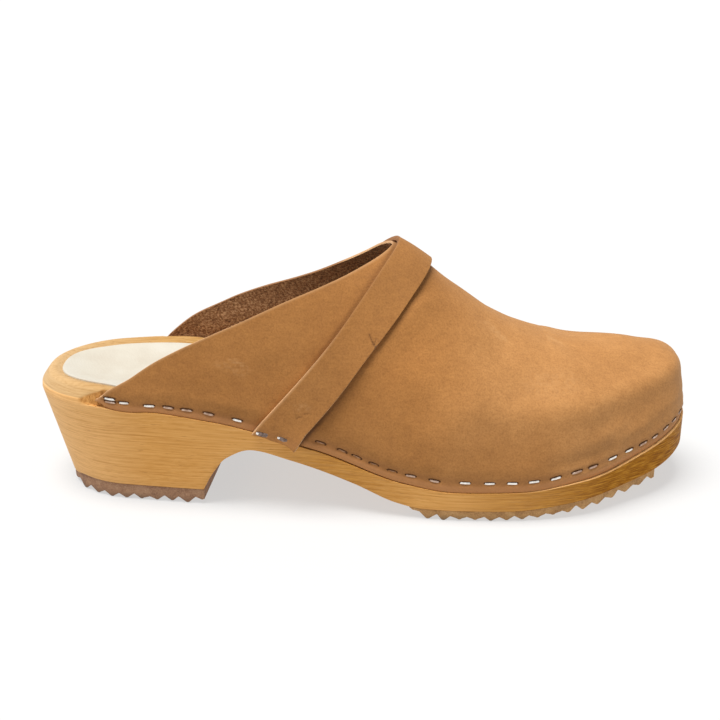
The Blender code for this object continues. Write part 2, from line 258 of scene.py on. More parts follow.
# painted shadow: dark lenses round each staple's crown and over the slits of deep staples' legs
SHADOW_LENS_PROUD = 0.34
ShadowLens = namedtuple("ShadowLens", "beyond tall shift")
SHADOW_LENSES = {
    BRIGHT: ShadowLens(1.1, 0.85, 0.34),
    DULL: ShadowLens(1.2, 0.90, 0.34),
    DEEP: ShadowLens(1.1, 0.50, 0.45),
    SHADED: ShadowLens(0.8, 1.7, 0.20),
    SMALL: ShadowLens(1.1, 0.70, 0.28),
}
Wire = namedtuple("Wire", "crown width finish")
WIRES = {
    BRIGHT: Wire(3.8, 0.85, 0),
    DULL: Wire(3.8, 0.80, 1),
    DEEP: Wire(3.6, 0.75, 2),
    SHADED: Wire(4.6, 1.70, 3),
    SMALL: Wire(3.1, 0.75, 1),
}
SHADOW_LENS_FINISH = 4
GLINT = Wire(1.3, 0.9, 0)  # painted highlight: a short piece of bright wire at the rear bend of a shaded staple
GLINT_PROUD = 0.12
SHADOW_LENS_SQUARE = 0.6  # below 1 the ends of a shadow lens are blunter than an ellipse's
SHADOW_LENS_POINTS = 20
SHADOW_LENS_ABOVE, SHADOW_LENS_BELOW = 0.12, 0.25
LEG_SHADOW = (0.75, 0.85)
LEG_SHADOW_BEYOND = 0.2
DEEP_DENT = 0.25
DEEP_WIRE = 0.34

# Creases of the leather, soft troughs with depth above 0 and ridges below 0. Run is x up to
# the toe's pole and then the way round the toe, up is the way up the leather from its foot
LINE = "side run_from up_from run_to up_to width "
CREASES = table(
    LINE + "depth",
    (-1, 150, 30, 178, 64, 7, 0.35),
    (-1, 160, 24, 188, 52, 6, -0.30),
    (-1, 176, 80, 184, 68, 4, 0.40),
    (1, 176, 80, 184, 68, 4, 0.40),
    (1, 150, 30, 176, 62, 7, 0.35),
    (-1, 131, 44, 151, 84, 5, -0.60),
    (1, 131, 44, 151, 84, 5, -0.60),
    (-1, 222, 15, 234, 16, 3, -0.45),
    (-1, 232, 10, 246, 10.5, 2.6, -0.40),
    (-1, 214, 10, 226, 11, 3, 0.30),
    (1, 224, 15, 238, 14, 3, -0.45),
    (1, 234, 10, 248, 10, 2.8, -0.40),
    (-1, 70, 14, 104, 40, 9, 0.30),
    (1, 74, 14, 104, 38, 9, 0.30),
)
SHOULDERS = table(  # soft ridge round the toe where its top turns down
    "run up width height",
    (150, 40, 9, 0),
    (176, 33, 8, 0.6),
    (195, 31, 7, 1.1),
    (213, 29.5, 6.5, 1.4),
    (233, 28, 6, 1.5),
    (252, 26, 5.5, 1.5),
    (275, 23.5, 5, 1.2),
    (290, 22, 5, 1),
)
HOLLOW_DROP = 8.5  # flatter side under that ridge
HOLLOW_SHARE = 0.4
PUFF_HEIGHT = 0.40  # leather swelling above the line of the staples
PUFF_BUMP = (8.5, 3.6)
PUFF_END_OVER = (190.0, 210.0)
WELT_DEPTH = 0.5  # hollow above the staples round the toe
WELT_BUMP = (9.0, 3.0)
FOOT_DRAWN_IN = 0.35
TOE_DRAWN_IN = 0.65
TOE_DRAWN_OVER = (195.0, 225.0)
FOOT_OVER = (0.0, 4.0)  # way up over which the foot's own shape ends
FOOT_BAND_OVER = (2.0, 3.4)
FOOT_GAP = 0.4  # the leather's foot stands off the wood along the arch
FOOT_GAP_BUMP = (122.0, 20.0)
CORNER_LIFT = 2.1  # rounded rear corner of each flap
CORNER_LIFT_OVER = (0.0, 6.0)
SKIVED = 0.50  # share of the leather's thickness left at the collar
SKIVED_OVER = (0.0, 16.0)
# pale band along the collar: partly wear, partly painted highlight
WEAR_AND_HIGHLIGHT_OVER = (0.0, 1.6)
UPPER_RIPPLES = ((0.22, 22.0), (0.10, 9.0))  # height and size
UPPER_RIPPLE_OVER = (0.0, 10.0)
PULL_DEPTH = 0.25  # pull of a staple on the leather above it
PULL_REACH = 14.0
PULL_HALF = 2.4
PULL_BUMP = (3.0, 3.0)
NICK_DEPTH = 0.22
FLAP_SHADE = 0.80  # how much painted shade darkens the flaps
FLAP_SHADE_OVER = (148.0, 186.0)
VAMP_SHADE = 0.7  # share of that low on the vamp
VAMP_SHADE_OVER = (190.0, 215.0)
VAMP_SHADE_UP_OVER = (12.0, 36.0)
# painted shade over the whole strap
STRAP_SHADE = 0.75
STRAP_SHADOW_HIGH, STRAP_SHADOW_LOW = 0.30, 0.70  # painted shadow along the strap: a dark line in front of it, all along and more low down, and one behind it high up
STRAP_SHADOW_AHEAD_BUMP = (0.7, 1.1)
STRAP_SHADOW_LOW_BUMP = (0.0, 26.0)
STRAP_SHADOW_BEHIND = 0.45
STRAP_SHADOW_BEHIND_BUMP = (-0.5, 0.8)
STRAP_SHADOW_BEHIND_OVER = (30.0, 52.0)

# Scuffs of the leather: tone above 0 is lighter, below 0 darker
SCUFFS = table(
    LINE + "tone",
    (-1, 79, 37, 85, 31, 0.9, 0.6),
    (-1, 74, 33, 82, 28, 2.2, 0.25),
    (-1, 177, 80, 184, 70, 1.2, 0.5),
    (-1, 208, 68, 236, 61, 3.5, 0.35),
    (-1, 196, 44, 214, 40, 6, 0.2),
    (1, 90, 34, 97, 28, 1.2, 0.4),
    (1, 182, 50, 196, 45, 4, 0.25),
)
# Wide soft patches of the hide, lighter above 0 and darker below: partly its own tone, partly painted light
# and shade
PATCH = "side run up wide tall light"
PATCHES_OF_TONE_AND_PAINTED_LIGHT = table(
    PATCH,
    (-1, 152, 52, 18, 16, 0.16),
    (1, 154, 52, 18, 16, 0.12),
    (-1, 138, 42, 11, 13, 0.09),
    (-1, 178, 18, 16, 6, -0.08),
    (-1, 140, 9, 40, 7, -0.12),
    (-1, 212, 19, 26, 7, -0.09),
    (-1, 222, 9.3, 20, 2.6, -0.10),
    (-1, 238, 12.8, 7, 1.6, 0.12),
    (-1, 72, 6, 45, 5, -0.09),
    (-1, 72, 27, 34, 12, 0.06),
)
# the same patches of own tone and of painted light and shade on the strap
STRAP_PATCHES_OF_TONE_AND_PAINTED_LIGHT = table(
    PATCH,
    (-1, 141, 80, 40, 17, -0.13),
    (1, 141, 80, 40, 17, -0.13),
    (-1, 112, 26, 18, 26, -0.09),
    (-1, 97, 1, 14, 5, -0.07),
)
STRAP_SCUFFS = table(
    LINE + "tone",
    (-1, 130.7, 53.2, 132.4, 49.4, 0.36, -0.95),
    (-1, 133.4, 52.2, 132.8, 49, 0.30, -0.80),
    (-1, 106.6, 14.6, 108.6, 15.6, 0.34, -0.95),
    (-1, 103.8, 11.9, 105.2, 13.1, 0.40, -0.60),
    (-1, 104, 16.6, 107.4, 17.8, 1.4, 0.30),
    (1, 118, 38, 121, 34, 0.4, -0.35),
)

# Steps and small measures of the meshes
HEEL_STEPS = 90
TOE_STEPS = 60
UNDER_HEEL_STEPS = 24
BREAST_STEPS = 30
BREAST_RUN = 19.0
BREAST_CROWDING = 1.8
FRONT_STEPS = 110
LIP_STEPS = 48
RIM_FROM = 8  # step up the rim where the painted shade that tones down its lit top starts
FOOTBED_STEPS = 12
SIDE_STEPS = 8
BASE_SHARES = (0.0, 0.3, 0.6, 0.85, 1.0)
UPPER_ROWS = 84
UPPER_COLUMNS = 165
STRAP_ROWS = 440
STRAP_COLUMNS = 44
FOOT_CROWDING = 0.6
CUT_FADE = 0.25
LIT_EDGE_SHARE = 0.965  # how high up the side the painted highlight along the top edge starts
LIT_EDGE_OVER = (183.0, 206.0)
# painted shade on the front of the heel
BREAST_EDGE = 0.5
BREAST_DARK_OVER = (76.0, 84.0)
FINE_TURNS, SEAT_TURNS = 300, 1200
RUN_STEPS = 400
OUTLINE_STEPS = 2001
SEAT_STEP, SEAT_TURN = 0.05, 0.01
SLOPE_STEP = 0.5
POLE_MARGIN = 0.5
PITCH_VARIES = (1.4, 2.8)
EDGE_ROUND = 0.8
RIM_ROUND = 0.25
RIM_ANGLE = radians(55)
WELD = 0.001
SHARP = radians(40)
TINY = 1e-9
FAR = 1e3
SEED = 7


# Curves and shapes of the part

def smooth(rows, column):
    """Curve through one column of a table against its first, never swinging past a row."""
    knots = np.array([row[0] for row in rows], float)
    values = np.array([getattr(row, column) for row in rows], float)
    steps = np.diff(knots)
    slopes = np.diff(values) / steps
    tangents = np.concatenate([slopes[:1], np.zeros(len(rows) - 2), slopes[-1:]])
    for i in range(1, len(rows) - 1):
        before, after = slopes[i - 1], slopes[i]
        if before * after > 0:
            tangents[i] = 2 * before * after / (before + after)

    def value(x):
        x = np.clip(x, knots[0], knots[-1])
        i = np.clip(np.searchsorted(knots, x, side="right") - 1, 0, len(rows) - 2)
        t = (x - knots[i]) / steps[i]
        return (
            values[i] * (1 + 2 * t) * (1 - t) ** 2
            + steps[i] * tangents[i] * t * (1 - t) ** 2
            + values[i + 1] * t**2 * (3 - 2 * t)
            + steps[i] * tangents[i + 1] * t**2 * (t - 1)
        )

    return value


def ease(start, end, x):
    """0 up to start, 1 from end, and a smooth step between."""
    t = np.clip((x - start) / (end - start), 0, 1)
    return t * t * (3 - 2 * t)


def fade(start, end, x):
    """1 up to start, 0 from end, and a smooth step between."""
    return 1 - ease(start, end, x)


def swell(x, middle, half):
    """A soft bump: 1 at its middle, fading out on both sides."""
    return np.exp(-(((x - middle) / half) ** 2))


def by_side(values, side):
    """The value of the side that each point lies on."""
    return np.where(side < 0, values[-1], values[1])


def unit(vectors):
    """Vectors of the same directions, each with a length of 1."""
    return vectors / np.maximum(np.linalg.norm(vectors, axis=-1, keepdims=True), TINY)


def way_along(points):
    """Length of a line of points from the first to each of them."""
    steps = np.linalg.norm(np.diff(points, axis=0), axis=1)
    return np.concatenate([[0.0], np.cumsum(steps)])


lateral, medial, spine, ledge, crown, square = (
    smooth(SECTIONS, name) for name in SECTIONS[0]._fields[1:]
)
arch = smooth(UNDERSIDES, "z")
collar = {-1: smooth(COLLAR, "lateral"), 1: smooth(COLLAR, "medial")}
strap_rear = smooth(STRAP, "rear")
strap_front = smooth(STRAP, "front")


def underside(x):
    """Height of the wood's underside: flat under the heel but for its back, then arch and spring."""
    sag = SEAM_SAG * fade(*SEAM_SAG_OVER, x)
    return np.where(x <= BREAST, HEEL_PIECE + GAP - sag, arch(x))


def flap_dip(x, side):
    return np.where(side < 0, FLAP_DIP * swell(x, *FLAP_DIP_BUMP), 0)


def foot(x, side):
    """Height of the ledge that the leather's foot stands on, along one side."""
    lift = INNER_LIFT * ease(*INNER_LIFT_OVER, x) * fade(*INNER_DROP_OVER, x)
    toe = TOE_DIP * ease(*TOE_DIP_OVER, x)
    return ledge(x) - flap_dip(x, side) + np.where(side < 0, 0, lift) - toe


def edge(x, side):
    """Where the sole's edge lies across the shoe: side is -1 lateral, +1 medial."""
    heel = np.clip((HEEL_POLE - x) / HEEL_POLE, 0, 1)
    toe = np.clip((x - TOE_POLE) / (LENGTH - TOE_POLE), 0, 1)
    share = np.maximum(1 - np.maximum(heel, toe) ** END_POWER, 0) ** (1 / END_POWER)
    return spine(x) + side * share * np.where(side < 0, lateral(x), medial(x))


def round_end(steps):
    """Shares of the way from a pole to its end, evenly spread round the rounded plan."""
    return np.sin(np.linspace(0, pi / 2, steps + 1)) ** (2 / END_POWER)


def toe_stations(steps):
    return TOE_POLE + (LENGTH - TOE_POLE) * round_end(steps)


def leather(x, side, turn):
    """Outer face of the upper over the edge at x: turn is 0 at the sole, pi/2 on the crown."""
    power = 2 / square(x)
    reach = np.cos(turn) ** power
    rise = np.sin(turn) ** power
    middle_x = np.minimum(x, TOE_POLE)
    plan_x = middle_x + reach * (x - middle_x)
    plan_y = spine(middle_x) + reach * (edge(x, side) - spine(middle_x))
    low = foot(x, side) + GAP
    return np.stack([plan_x, plan_y, low + rise * (crown(plan_x) - low)], axis=-1)


def flap_rise(turn):
    """Share of the rise to the crown that the turn gives in the sections behind the strap."""
    return np.sin(turn) ** (2 / SECTIONS[0].square)


def edge_run(side):
    """Tables of x and of the way along the edge: x itself, and round the toe its length."""
    x = toe_stations(RUN_STEPS)
    return x, TOE_POLE + way_along(np.stack([x, edge(x, side)], axis=1))


RUNS = {side: edge_run(side) for side in SIDES}


def run_of(x, side):
    return np.where(x <= TOE_POLE, x, np.interp(x, *RUNS[side]))


def x_of_run(run, side):
    x, along = RUNS[side]
    return np.where(run <= TOE_POLE, run, np.interp(run, along, x))


# Meshes

def shoe_origin():
    """Where the shoe's own x, y and z start in the part's frame, in millimetres."""
    low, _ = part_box("wood_sole")
    x = np.linspace(0, LENGTH, OUTLINE_STEPS)
    return np.array([low.x / MM, low.y / MM - edge(x, -1).min(), 0.0])


ORIGIN = shoe_origin()


def quads(rows, columns, closed):
    """Corner numbers of the quads over a grid of points."""
    i, j = np.meshgrid(np.arange(rows - 1), np.arange(columns if closed else columns - 1), indexing="ij")
    k = (j + 1) % columns
    corners = [i * columns + j, i * columns + k, (i + 1) * columns + k, (i + 1) * columns + j]
    return np.stack(corners, axis=-1).reshape(-1, 4).tolist()


def sheet_mesh(name, grid, closed=False, marks=None):
    """Mesh over a grid of points, welded where rows run together, with values at its points."""
    rows, columns = grid.shape[:2]
    return solid_mesh(name, grid.reshape(-1, 3), quads(rows, columns, closed), marks)


def solid_mesh(name, points, faces, marks=None, outward=False):
    """Mesh of points and faces, smooth but for its sharp edges."""
    mesh = bpy.data.meshes.new(name)
    mesh.from_pydata(((points + ORIGIN) * MM).tolist(), [], faces)
    for mark, values in (marks or {}).items():
        layer = mesh.attributes.new(mark, "FLOAT", "POINT")
        layer.data.foreach_set("value", np.asarray(values, np.float32).ravel())
    bm = bmesh.new()
    bm.from_mesh(mesh)
    bmesh.ops.remove_doubles(bm, verts=bm.verts, dist=WELD * MM)
    if outward:
        bmesh.ops.recalc_face_normals(bm, faces=bm.faces)
    bm.to_mesh(mesh)
    bm.free()
    mesh.shade_smooth()
    mesh.set_sharp_from_angle(angle=SHARP)
    return mesh


def capped_tube(grid):
    """Points and faces of rings in a row, closed at both ends."""
    rows, count = grid.shape[:2]
    ends = [list(range(count)), list(range((rows - 1) * count, rows * count))]
    return grid.reshape(-1, 3), quads(rows, count, closed=True) + ends


def link(thing):
    bpy.context.scene.collection.objects.link(thing)


def add_piece(name, mesh, finishes, replaced=None):
    """Put a piece in the scene, riding on the shoe's body."""
    piece = bpy.data.objects.new(name, mesh)
    link(piece)
    for finish in finishes:
        mesh.materials.append(finish)
    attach(piece, BODY)
    if replaced:
        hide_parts(replaced)
    return piece


def thinned_group(piece):
    """Vertex group of the wall's share of its full thickness, from the mark of that name."""
    group = piece.vertex_groups.new(name="wall")
    for i, share in enumerate(piece.data.attributes["wall"].data):
        group.add([i], share.value, "REPLACE")
    return group


def thicken(piece, thickness, outward):
    """Turn a sheet into a wall whose second face and cut edge have their own finishes."""
    wall = piece.modifiers.new("wall", "SOLIDIFY")
    wall.thickness = thickness * MM
    wall.offset = 1.0 if outward else -1.0
    wall.use_even_offset = True
    if "wall" in piece.data.attributes:
        wall.vertex_group = thinned_group(piece).name
    wall.use_rim = True
    wall.material_offset = 1
    wall.material_offset_rim = 2
    soften = piece.modifiers.new("cut_edge", "BEVEL")
    soften.width = RIM_ROUND * MM
    soften.segments = 2
    soften.limit_method = "ANGLE"
    soften.angle_limit = RIM_ANGLE
    soften.use_clamp_overlap = True


def face_normals(grid):
    """Unit normals of a grid of points, pointing out where columns run to the toe and rows up."""
    return unit(np.cross(np.gradient(grid, axis=1), np.gradient(grid, axis=0)))


def crown_normals(x):
    """Normals on the crown line, which lie in the plane of the shoe's length."""
    slope = (crown(x + SLOPE_STEP) - crown(x - SLOPE_STEP)) / (2 * SLOPE_STEP)
    return unit(np.stack([-slope, np.zeros_like(slope), np.ones_like(slope)], axis=-1))


def ripple(points, size, seed, waves=7):
    """Soft unevenness between about -1 and 1, with lumps of about the given size."""
    draw = np.random.default_rng(seed)
    total = np.zeros(points.shape[:-1])
    for _ in range(waves):
        direction = unit(draw.normal(size=3))
        pitch = size * draw.uniform(*PITCH_VARIES)
        total += np.sin(points @ direction * (2 * pi / pitch) + draw.uniform(0, 2 * pi))
    return total / np.sqrt(waves)


def near_segment(run, up, line):
    """How near points lie to a line drawn on the leather: 1 on it, fading over its width."""
    start = np.array([line.run_from, line.up_from])
    way = np.array([line.run_to, line.up_to]) - start
    offset = np.stack([run, up], axis=-1) - start
    share = np.clip(offset @ way / (way @ way), 0, 1)
    away = np.linalg.norm(offset - share[..., None] * way, axis=-1)
    return swell(away, 0.0, line.width)


# Upper

def leather_column(station, side, rows):
    """One column up the leather, its steps shorter near the foot: points, turns, x and way up."""
    turn = np.linspace(0, pi / 2, FINE_TURNS)
    length = way_along(leather(station(turn), side, turn))
    share = np.linspace(0, 1, rows + 1)
    up = ((1 - FOOT_CROWDING) * share + FOOT_CROWDING * share**2) * length[-1]
    turn = np.interp(up, length, turn)
    x = station(turn)
    return leather(x, side, turn), turn, x, up


def upper_columns():
    """Columns of the upper from the lateral flap round the toe to the medial one."""
    columns = []
    for side in SIDES:
        half = []
        for along in np.linspace(0, 1, UPPER_COLUMNS + 1):
            def station(turn, along=along, back=collar[side]):
                start = back(flap_rise(turn))
                return start + along * (TOE_POLE - start)
            half.append((side, station))
        half += [(side, lambda turn, x=x: np.full_like(turn, x)) for x in toe_stations(TOE_STEPS)[1:]]
        columns += half if side < 0 else half[-2::-1]
    return columns


def upper_grid():
    """Points of the upper's face with side, run, up and way from the collar and the strap's edges."""
    columns = []
    for side, station in upper_columns():
        points, turn, x, up = leather_column(station, side, UPPER_ROWS)
        ways = [x - line(flap_rise(turn)) for line in (collar[side], strap_rear, strap_front)]
        columns.append((points, np.full_like(turn, side), run_of(x, side), up, *ways))
    return [np.stack(part, axis=1) for part in zip(*columns)]


def staple_rise(run, side):
    """Line of the staples above the leather's foot: low on the flaps, even round the toe."""
    along_vamp = ease(*VAMP_RISE_OVER, run) * (STAPLE_RISE - FLAP_STAPLE_RISE)
    sag = np.where(side < 0, STAPLE_SAG * swell(run, *STAPLE_SAG_BUMP), 0)
    toe = TOE_DIP * ease(*TOE_DIP_OVER, run) - TOE_STAPLE_DROP * ease(*TOE_STAPLE_OVER, run)
    return FLAP_STAPLE_RISE + along_vamp + flap_dip(run, side) - sag + toe


def staple_seats():
    """Side, x, rise and look of each staple in the upper, once round from the lateral flap."""
    seats = [(-1, staple) for staple in STAPLES]
    ends = [float(run_of(STAPLES[-1].x, side)) for side in SIDES]
    tips = [RUNS[side][1][-1] for side in SIDES]
    gap = tips[0] - ends[0] + tips[1] - ends[1]
    count = round(gap / TIP_PITCH)
    for i in range(1, count):
        way = ends[0] + gap * i / count
        side, run = (-1, way) if way <= tips[0] else (1, tips[0] + tips[1] - way)
        seats.append((side, Staple(float(x_of_run(run, side)), SMALL)))
    seats += [(1, staple) for staple in reversed(STAPLES) if staple.x > INNER_FIRST.x]
    seats.append((1, INNER_FIRST))
    return [(side, s.x, float(staple_rise(run_of(s.x, side), side)) - s.drop, s.look) for side, s in seats]


def turn_at(x, side, height):
    """Turn at which the leather over x has come this far up from its foot."""
    turn = np.linspace(0, pi / 2, SEAT_TURNS)
    length = way_along(leather(np.full_like(turn, x), side, turn))
    return float(np.interp(height, length, turn))


def seat_frame(side, x, height):
    """Point on the leather with the directions along the edge towards the toe, up and out."""
    turn = turn_at(x, side, height)
    run = float(run_of(x, side))
    behind, ahead = (x_of_run(run + step, side) for step in (-SEAT_STEP, SEAT_STEP))
    point = leather(x, side, turn)
    along = unit(leather(ahead, side, turn) - leather(behind, side, turn))
    out = unit(np.cross(along, leather(x, side, turn + SEAT_TURN) - point) * -side)
    return point, along, np.cross(out, along) * -side, out


def upper_relief(points, sides, runs, ups):
    """Height of the leather's folds and dents over its plain shape."""
    relief = np.zeros_like(runs)
    for i, (swing, size) in enumerate(UPPER_RIPPLES):
        relief += swing * ripple(points, size, SEED + i)
    relief *= ease(*UPPER_RIPPLE_OVER, ups)
    for crease in CREASES:
        relief -= np.where(sides == crease.side, crease.depth * near_segment(runs, ups, crease), 0)
    ridge, width, height = (smooth(SHOULDERS, name)(runs) for name in SHOULDERS[0]._fields[1:])
    relief += height * swell(ups, ridge, width)
    relief -= HOLLOW_SHARE * height * swell(ups, ridge - HOLLOW_DROP, width)
    before_toe = fade(*PUFF_END_OVER, runs)
    relief += PUFF_HEIGHT * before_toe * swell(ups, *PUFF_BUMP)
    relief -= WELT_DEPTH * (1 - before_toe) * swell(ups, *WELT_BUMP)
    relief -= GROOVE_DEPTH * swell(ups, staple_rise(runs, sides), GROOVE_HALF)
    drawn_in = FOOT_DRAWN_IN + TOE_DRAWN_IN * ease(*TOE_DRAWN_OVER, runs)
    return relief - drawn_in * fade(*FOOT_OVER, ups)


def pinch(along, up):
    """Form of the dent under a staple: blunt along the wire and narrow across it."""
    return np.exp(-((along / DENT_HALF) ** 4) - (up / DENT_TALL) ** 2)


def dent_depth(look):
    return DENT_DEPTH + (DEEP_DENT if look == DEEP else 0.0)


def staple_dents(points, seats):
    """Dent of the leather round each staple, and the pull of each on the leather above it."""
    dent = np.zeros(points.shape[:-1])
    for side, x, rise, look in seats:
        point, along, up, _ = seat_frame(side, x, rise)
        offset = points - point
        a = offset @ along
        b = offset @ up
        near = np.linalg.norm(offset, axis=-1) < PULL_REACH
        pull = PULL_DEPTH * swell(a, 0.0, PULL_HALF) * swell(b, *PULL_BUMP)
        dent -= np.where(near, dent_depth(look) * pinch(a, b) + pull, 0)
    return dent


def scuff_tone(sides, runs, ups, scuffs):
    tone = np.zeros_like(runs)
    for scuff in scuffs:
        tone += np.where(sides == scuff.side, scuff.tone * near_segment(runs, ups, scuff), 0)
    return tone


def painted_leather_shade(runs, ups):
    """Painted shade that darkens and reddens the hide: over the flaps and low on the vamp."""
    flap = fade(*FLAP_SHADE_OVER, runs)
    low_vamp = VAMP_SHADE * fade(*VAMP_SHADE_OVER, runs) * fade(*VAMP_SHADE_UP_OVER, ups)
    return FLAP_SHADE * np.maximum(flap, low_vamp)


def patch_tone_and_painted_light(sides, runs, ups, patches):
    """How much lighter or darker the hide is over its wide soft patches, partly its own tone and partly
    painted light and shade.
    """
    light = np.zeros_like(runs)
    for patch in patches:
        away = ((runs - patch.run) / patch.wide) ** 2 + ((ups - patch.up) / patch.tall) ** 2
        light += np.where(sides == patch.side, patch.light * np.exp(-away), 0)
    return light


def painted_strap_shadow(ups, from_rear, from_front):
    """Painted shadow in the corners along the strap: dark lines in front of it low down, behind it high up.
    """
    ahead = swell(from_front, *STRAP_SHADOW_AHEAD_BUMP) * (STRAP_SHADOW_HIGH + STRAP_SHADOW_LOW * swell(ups, *STRAP_SHADOW_LOW_BUMP))
    behind = STRAP_SHADOW_BEHIND * swell(from_rear, *STRAP_SHADOW_BEHIND_BUMP) * ease(*STRAP_SHADOW_BEHIND_OVER, ups)
    return np.maximum(ahead, behind)


def upper_shape(points, sides, runs, ups):
    """The upper's face with its relief, its foot off the wood and its rear corners rounded."""
    normals = face_normals(points)
    normals[-1] = crown_normals(points[-1, :, 0])
    relief = upper_relief(points, sides, runs, ups) + staple_dents(points, staple_seats())
    relief[-1] = np.where(points[-1, :, 0] > TOE_POLE - POLE_MARGIN, relief[-1].mean(), relief[-1])
    relief[-1] = (relief[-1] + relief[-1, ::-1]) / 2
    shaped = points + normals * relief[..., None]
    shaped[..., 2] += FOOT_GAP * swell(runs, *FOOT_GAP_BUMP) * fade(*FOOT_OVER, ups)
    rounded = CORNER_LIFT * fade(*CORNER_LIFT_OVER, runs - by_side(FLAP_END, sides))
    shaped[..., 2] += rounded * fade(*CORNER_LIFT_OVER, ups)
    return shaped


def make_upper(finishes):
    """One skin from flap to flap round the toe, open at the back and underneath."""
    points, sides, runs, ups, from_collar, from_rear, from_front = upper_grid()
    marks = {
        "tone": scuff_tone(sides, runs, ups, SCUFFS),
        "light": patch_tone_and_painted_light(sides, runs, ups, PATCHES_OF_TONE_AND_PAINTED_LIGHT),
        "painted_shade": painted_leather_shade(runs, ups),
        "press_and_shade": swell(ups, staple_rise(runs, sides), PRESSED_HALF),
        "band": fade(*FOOT_BAND_OVER, ups),
        "wear_and_highlight": fade(*WEAR_AND_HIGHLIGHT_OVER, from_collar),
        "dusk": np.where(sides > 0, fade(*INNER_DUSK_OVER, ups), 0),
        "strap_shadow": painted_strap_shadow(ups, from_rear, from_front),
        "wall": SKIVED + (1 - SKIVED) * ease(*SKIVED_OVER, from_collar),
    }
    mesh = sheet_mesh("clog_upper", upper_shape(points, sides, runs, ups), marks=marks)
    piece = add_piece("clog_upper", mesh, finishes, "upper")
    thicken(piece, LEATHER, outward=False)


# Strap

def strap_grid():
    """Points of the strap's underside over the upper's plain face, from foot to foot."""
    halves = []
    for side in SIDES:
        columns = []
        for share in np.linspace(0, 1, STRAP_COLUMNS + 1):
            def station(turn, share=share):
                start = strap_rear(flap_rise(turn))
                return start + share * (strap_front(flap_rise(turn)) - start)
            points, turn, x, up = leather_column(station, side, STRAP_ROWS // 2)
            columns.append((points, np.full_like(turn, side), x, up, np.full_like(turn, share)))
        halves.append([np.stack(part, axis=1) for part in zip(*columns)])
    return [np.concatenate([outer, inner[-2::-1]]) for outer, inner in zip(*halves)]


def strap_lift(ups, share, sides):
    """How far the strap stands off the upper: snug behind, loose along its front edge."""
    front = FRONT_LIFT + FRONT_LIFT_LOW * swell(ups, *FRONT_LIFT_BUMP)
    rear = REAR_LIFT * ease(*REAR_LIFT_OVER, ups)
    corner = by_side(CORNER_OUT, sides) * swell(ups, *CORNER_OUT_BUMP)
    lift = STRAP_LIFT + front * share**EDGE_LIFT_POWER + rear * (1 - share) ** EDGE_LIFT_POWER
    return lift + corner * share**CORNER_OUT_POWER


def strap_relief(points, sides, x, ups):
    """Height of the strap's small folds, nicks and staple dents over its plain shape."""
    height, size = STRAP_RIPPLE
    relief = height * ripple(points, size, SEED + len(UPPER_RIPPLES)) * ease(*STRAP_RIPPLE_OVER, ups)
    for nick in STRAP_SCUFFS:
        if nick.tone < 0:
            relief -= np.where(sides == nick.side, NICK_DEPTH * near_segment(x, ups, nick), 0)
    for place, rise in STRAP_STAPLES:
        relief -= STRAP_DENT * pinch(x - place, ups - rise)
    return relief


def strap_shape():
    """Points of the strap's underside as it lies, its normals and the marks of each point."""
    points, sides, x, ups, share = strap_grid()
    normals = face_normals(points)
    height = strap_lift(ups, share, sides) + strap_relief(points, sides, x, ups)
    shaped = points + normals * height[..., None]
    reach = STRAP_HANG + CORNER_HANG * share**CORNER_HANG_POWER
    shaped[..., 2] -= reach * np.clip(1 - ups / HANG_UP, 0, 1)
    return shaped, normals, sides, x, ups, share


def make_strap(finishes):
    """A band over the instep, stapled at its feet, its lower front corner standing out."""
    shaped, _, sides, x, ups, share = strap_shape()
    dusk = ease(*STRAP_DUSK_OVER, ups)
    marks = {
        "tone": scuff_tone(sides, x, ups, STRAP_SCUFFS),
        "light": patch_tone_and_painted_light(sides, x, ups, STRAP_PATCHES_OF_TONE_AND_PAINTED_LIGHT),
        "painted_shade": np.full_like(ups, STRAP_SHADE),
        "press_and_shade": swell(ups, STRAP_STAPLES[0][1], PRESSED_HALF),
        "band": np.zeros_like(ups),
        "wear_and_highlight": fade(*STRAP_WEAR_AND_HIGHLIGHT_OVER, share) * (1 - STRAP_DUSK_SHARE * dusk),
        "dusk": dusk,
        "strap_shadow": np.zeros_like(ups),
    }
    mesh = sheet_mesh("clog_strap", shaped, marks=marks)
    piece = add_piece("clog_strap", mesh, finishes, "strap")
    thicken(piece, STRAP_LEATHER, outward=True)


# Staples

def staple_section(width):
    """Rounded rectangle of the wire, as offsets across it and out of the leather."""
    half_w, half_t = width / 2 - WIRE_CORNER, WIRE_THICK / 2 - WIRE_CORNER
    points = []
    for quarter in range(4):
        sign_w = 1 if quarter in (0, 3) else -1
        sign_t = 1 if quarter in (0, 1) else -1
        for step in range(3):
            angle = pi / 2 * (quarter + step / 2)
            points.append((
                sign_w * half_w + WIRE_CORNER * cos(angle),
                sign_t * half_t + WIRE_CORNER * sin(angle),
            ))
    return points


def staple_path(length):
    """Middle line of a staple: leg, bend, bowed crown, bend and leg, as along and out."""
    half = length / 2
    path = [(-half, -LEG)]
    for angle in np.linspace(pi, pi / 2, BEND_STEPS):
        path.append((-half + WIRE_BEND * (1 + cos(angle)), WIRE_BEND * (sin(angle) - 1)))
    for share in QUARTERS:
        path.append((-half + WIRE_BEND + share * (length - 2 * WIRE_BEND), WIRE_BOW * sin(pi * share)))
    return path + [(-a, o) for a, o in path[BEND_STEPS::-1]]


def staple_shape(point, along, up, out, length, width):
    """Points and faces of one staple driven into the leather."""
    path = np.array(staple_path(length))
    rows = []
    for (a, o), (wa, wo) in zip(path, unit(np.gradient(path, axis=0))):
        middle = point + a * along + o * out
        outward = wa * out - wo * along
        rows.append([middle + w * up + t * outward for w, t in staple_section(width)])
    return capped_tube(np.array(rows))


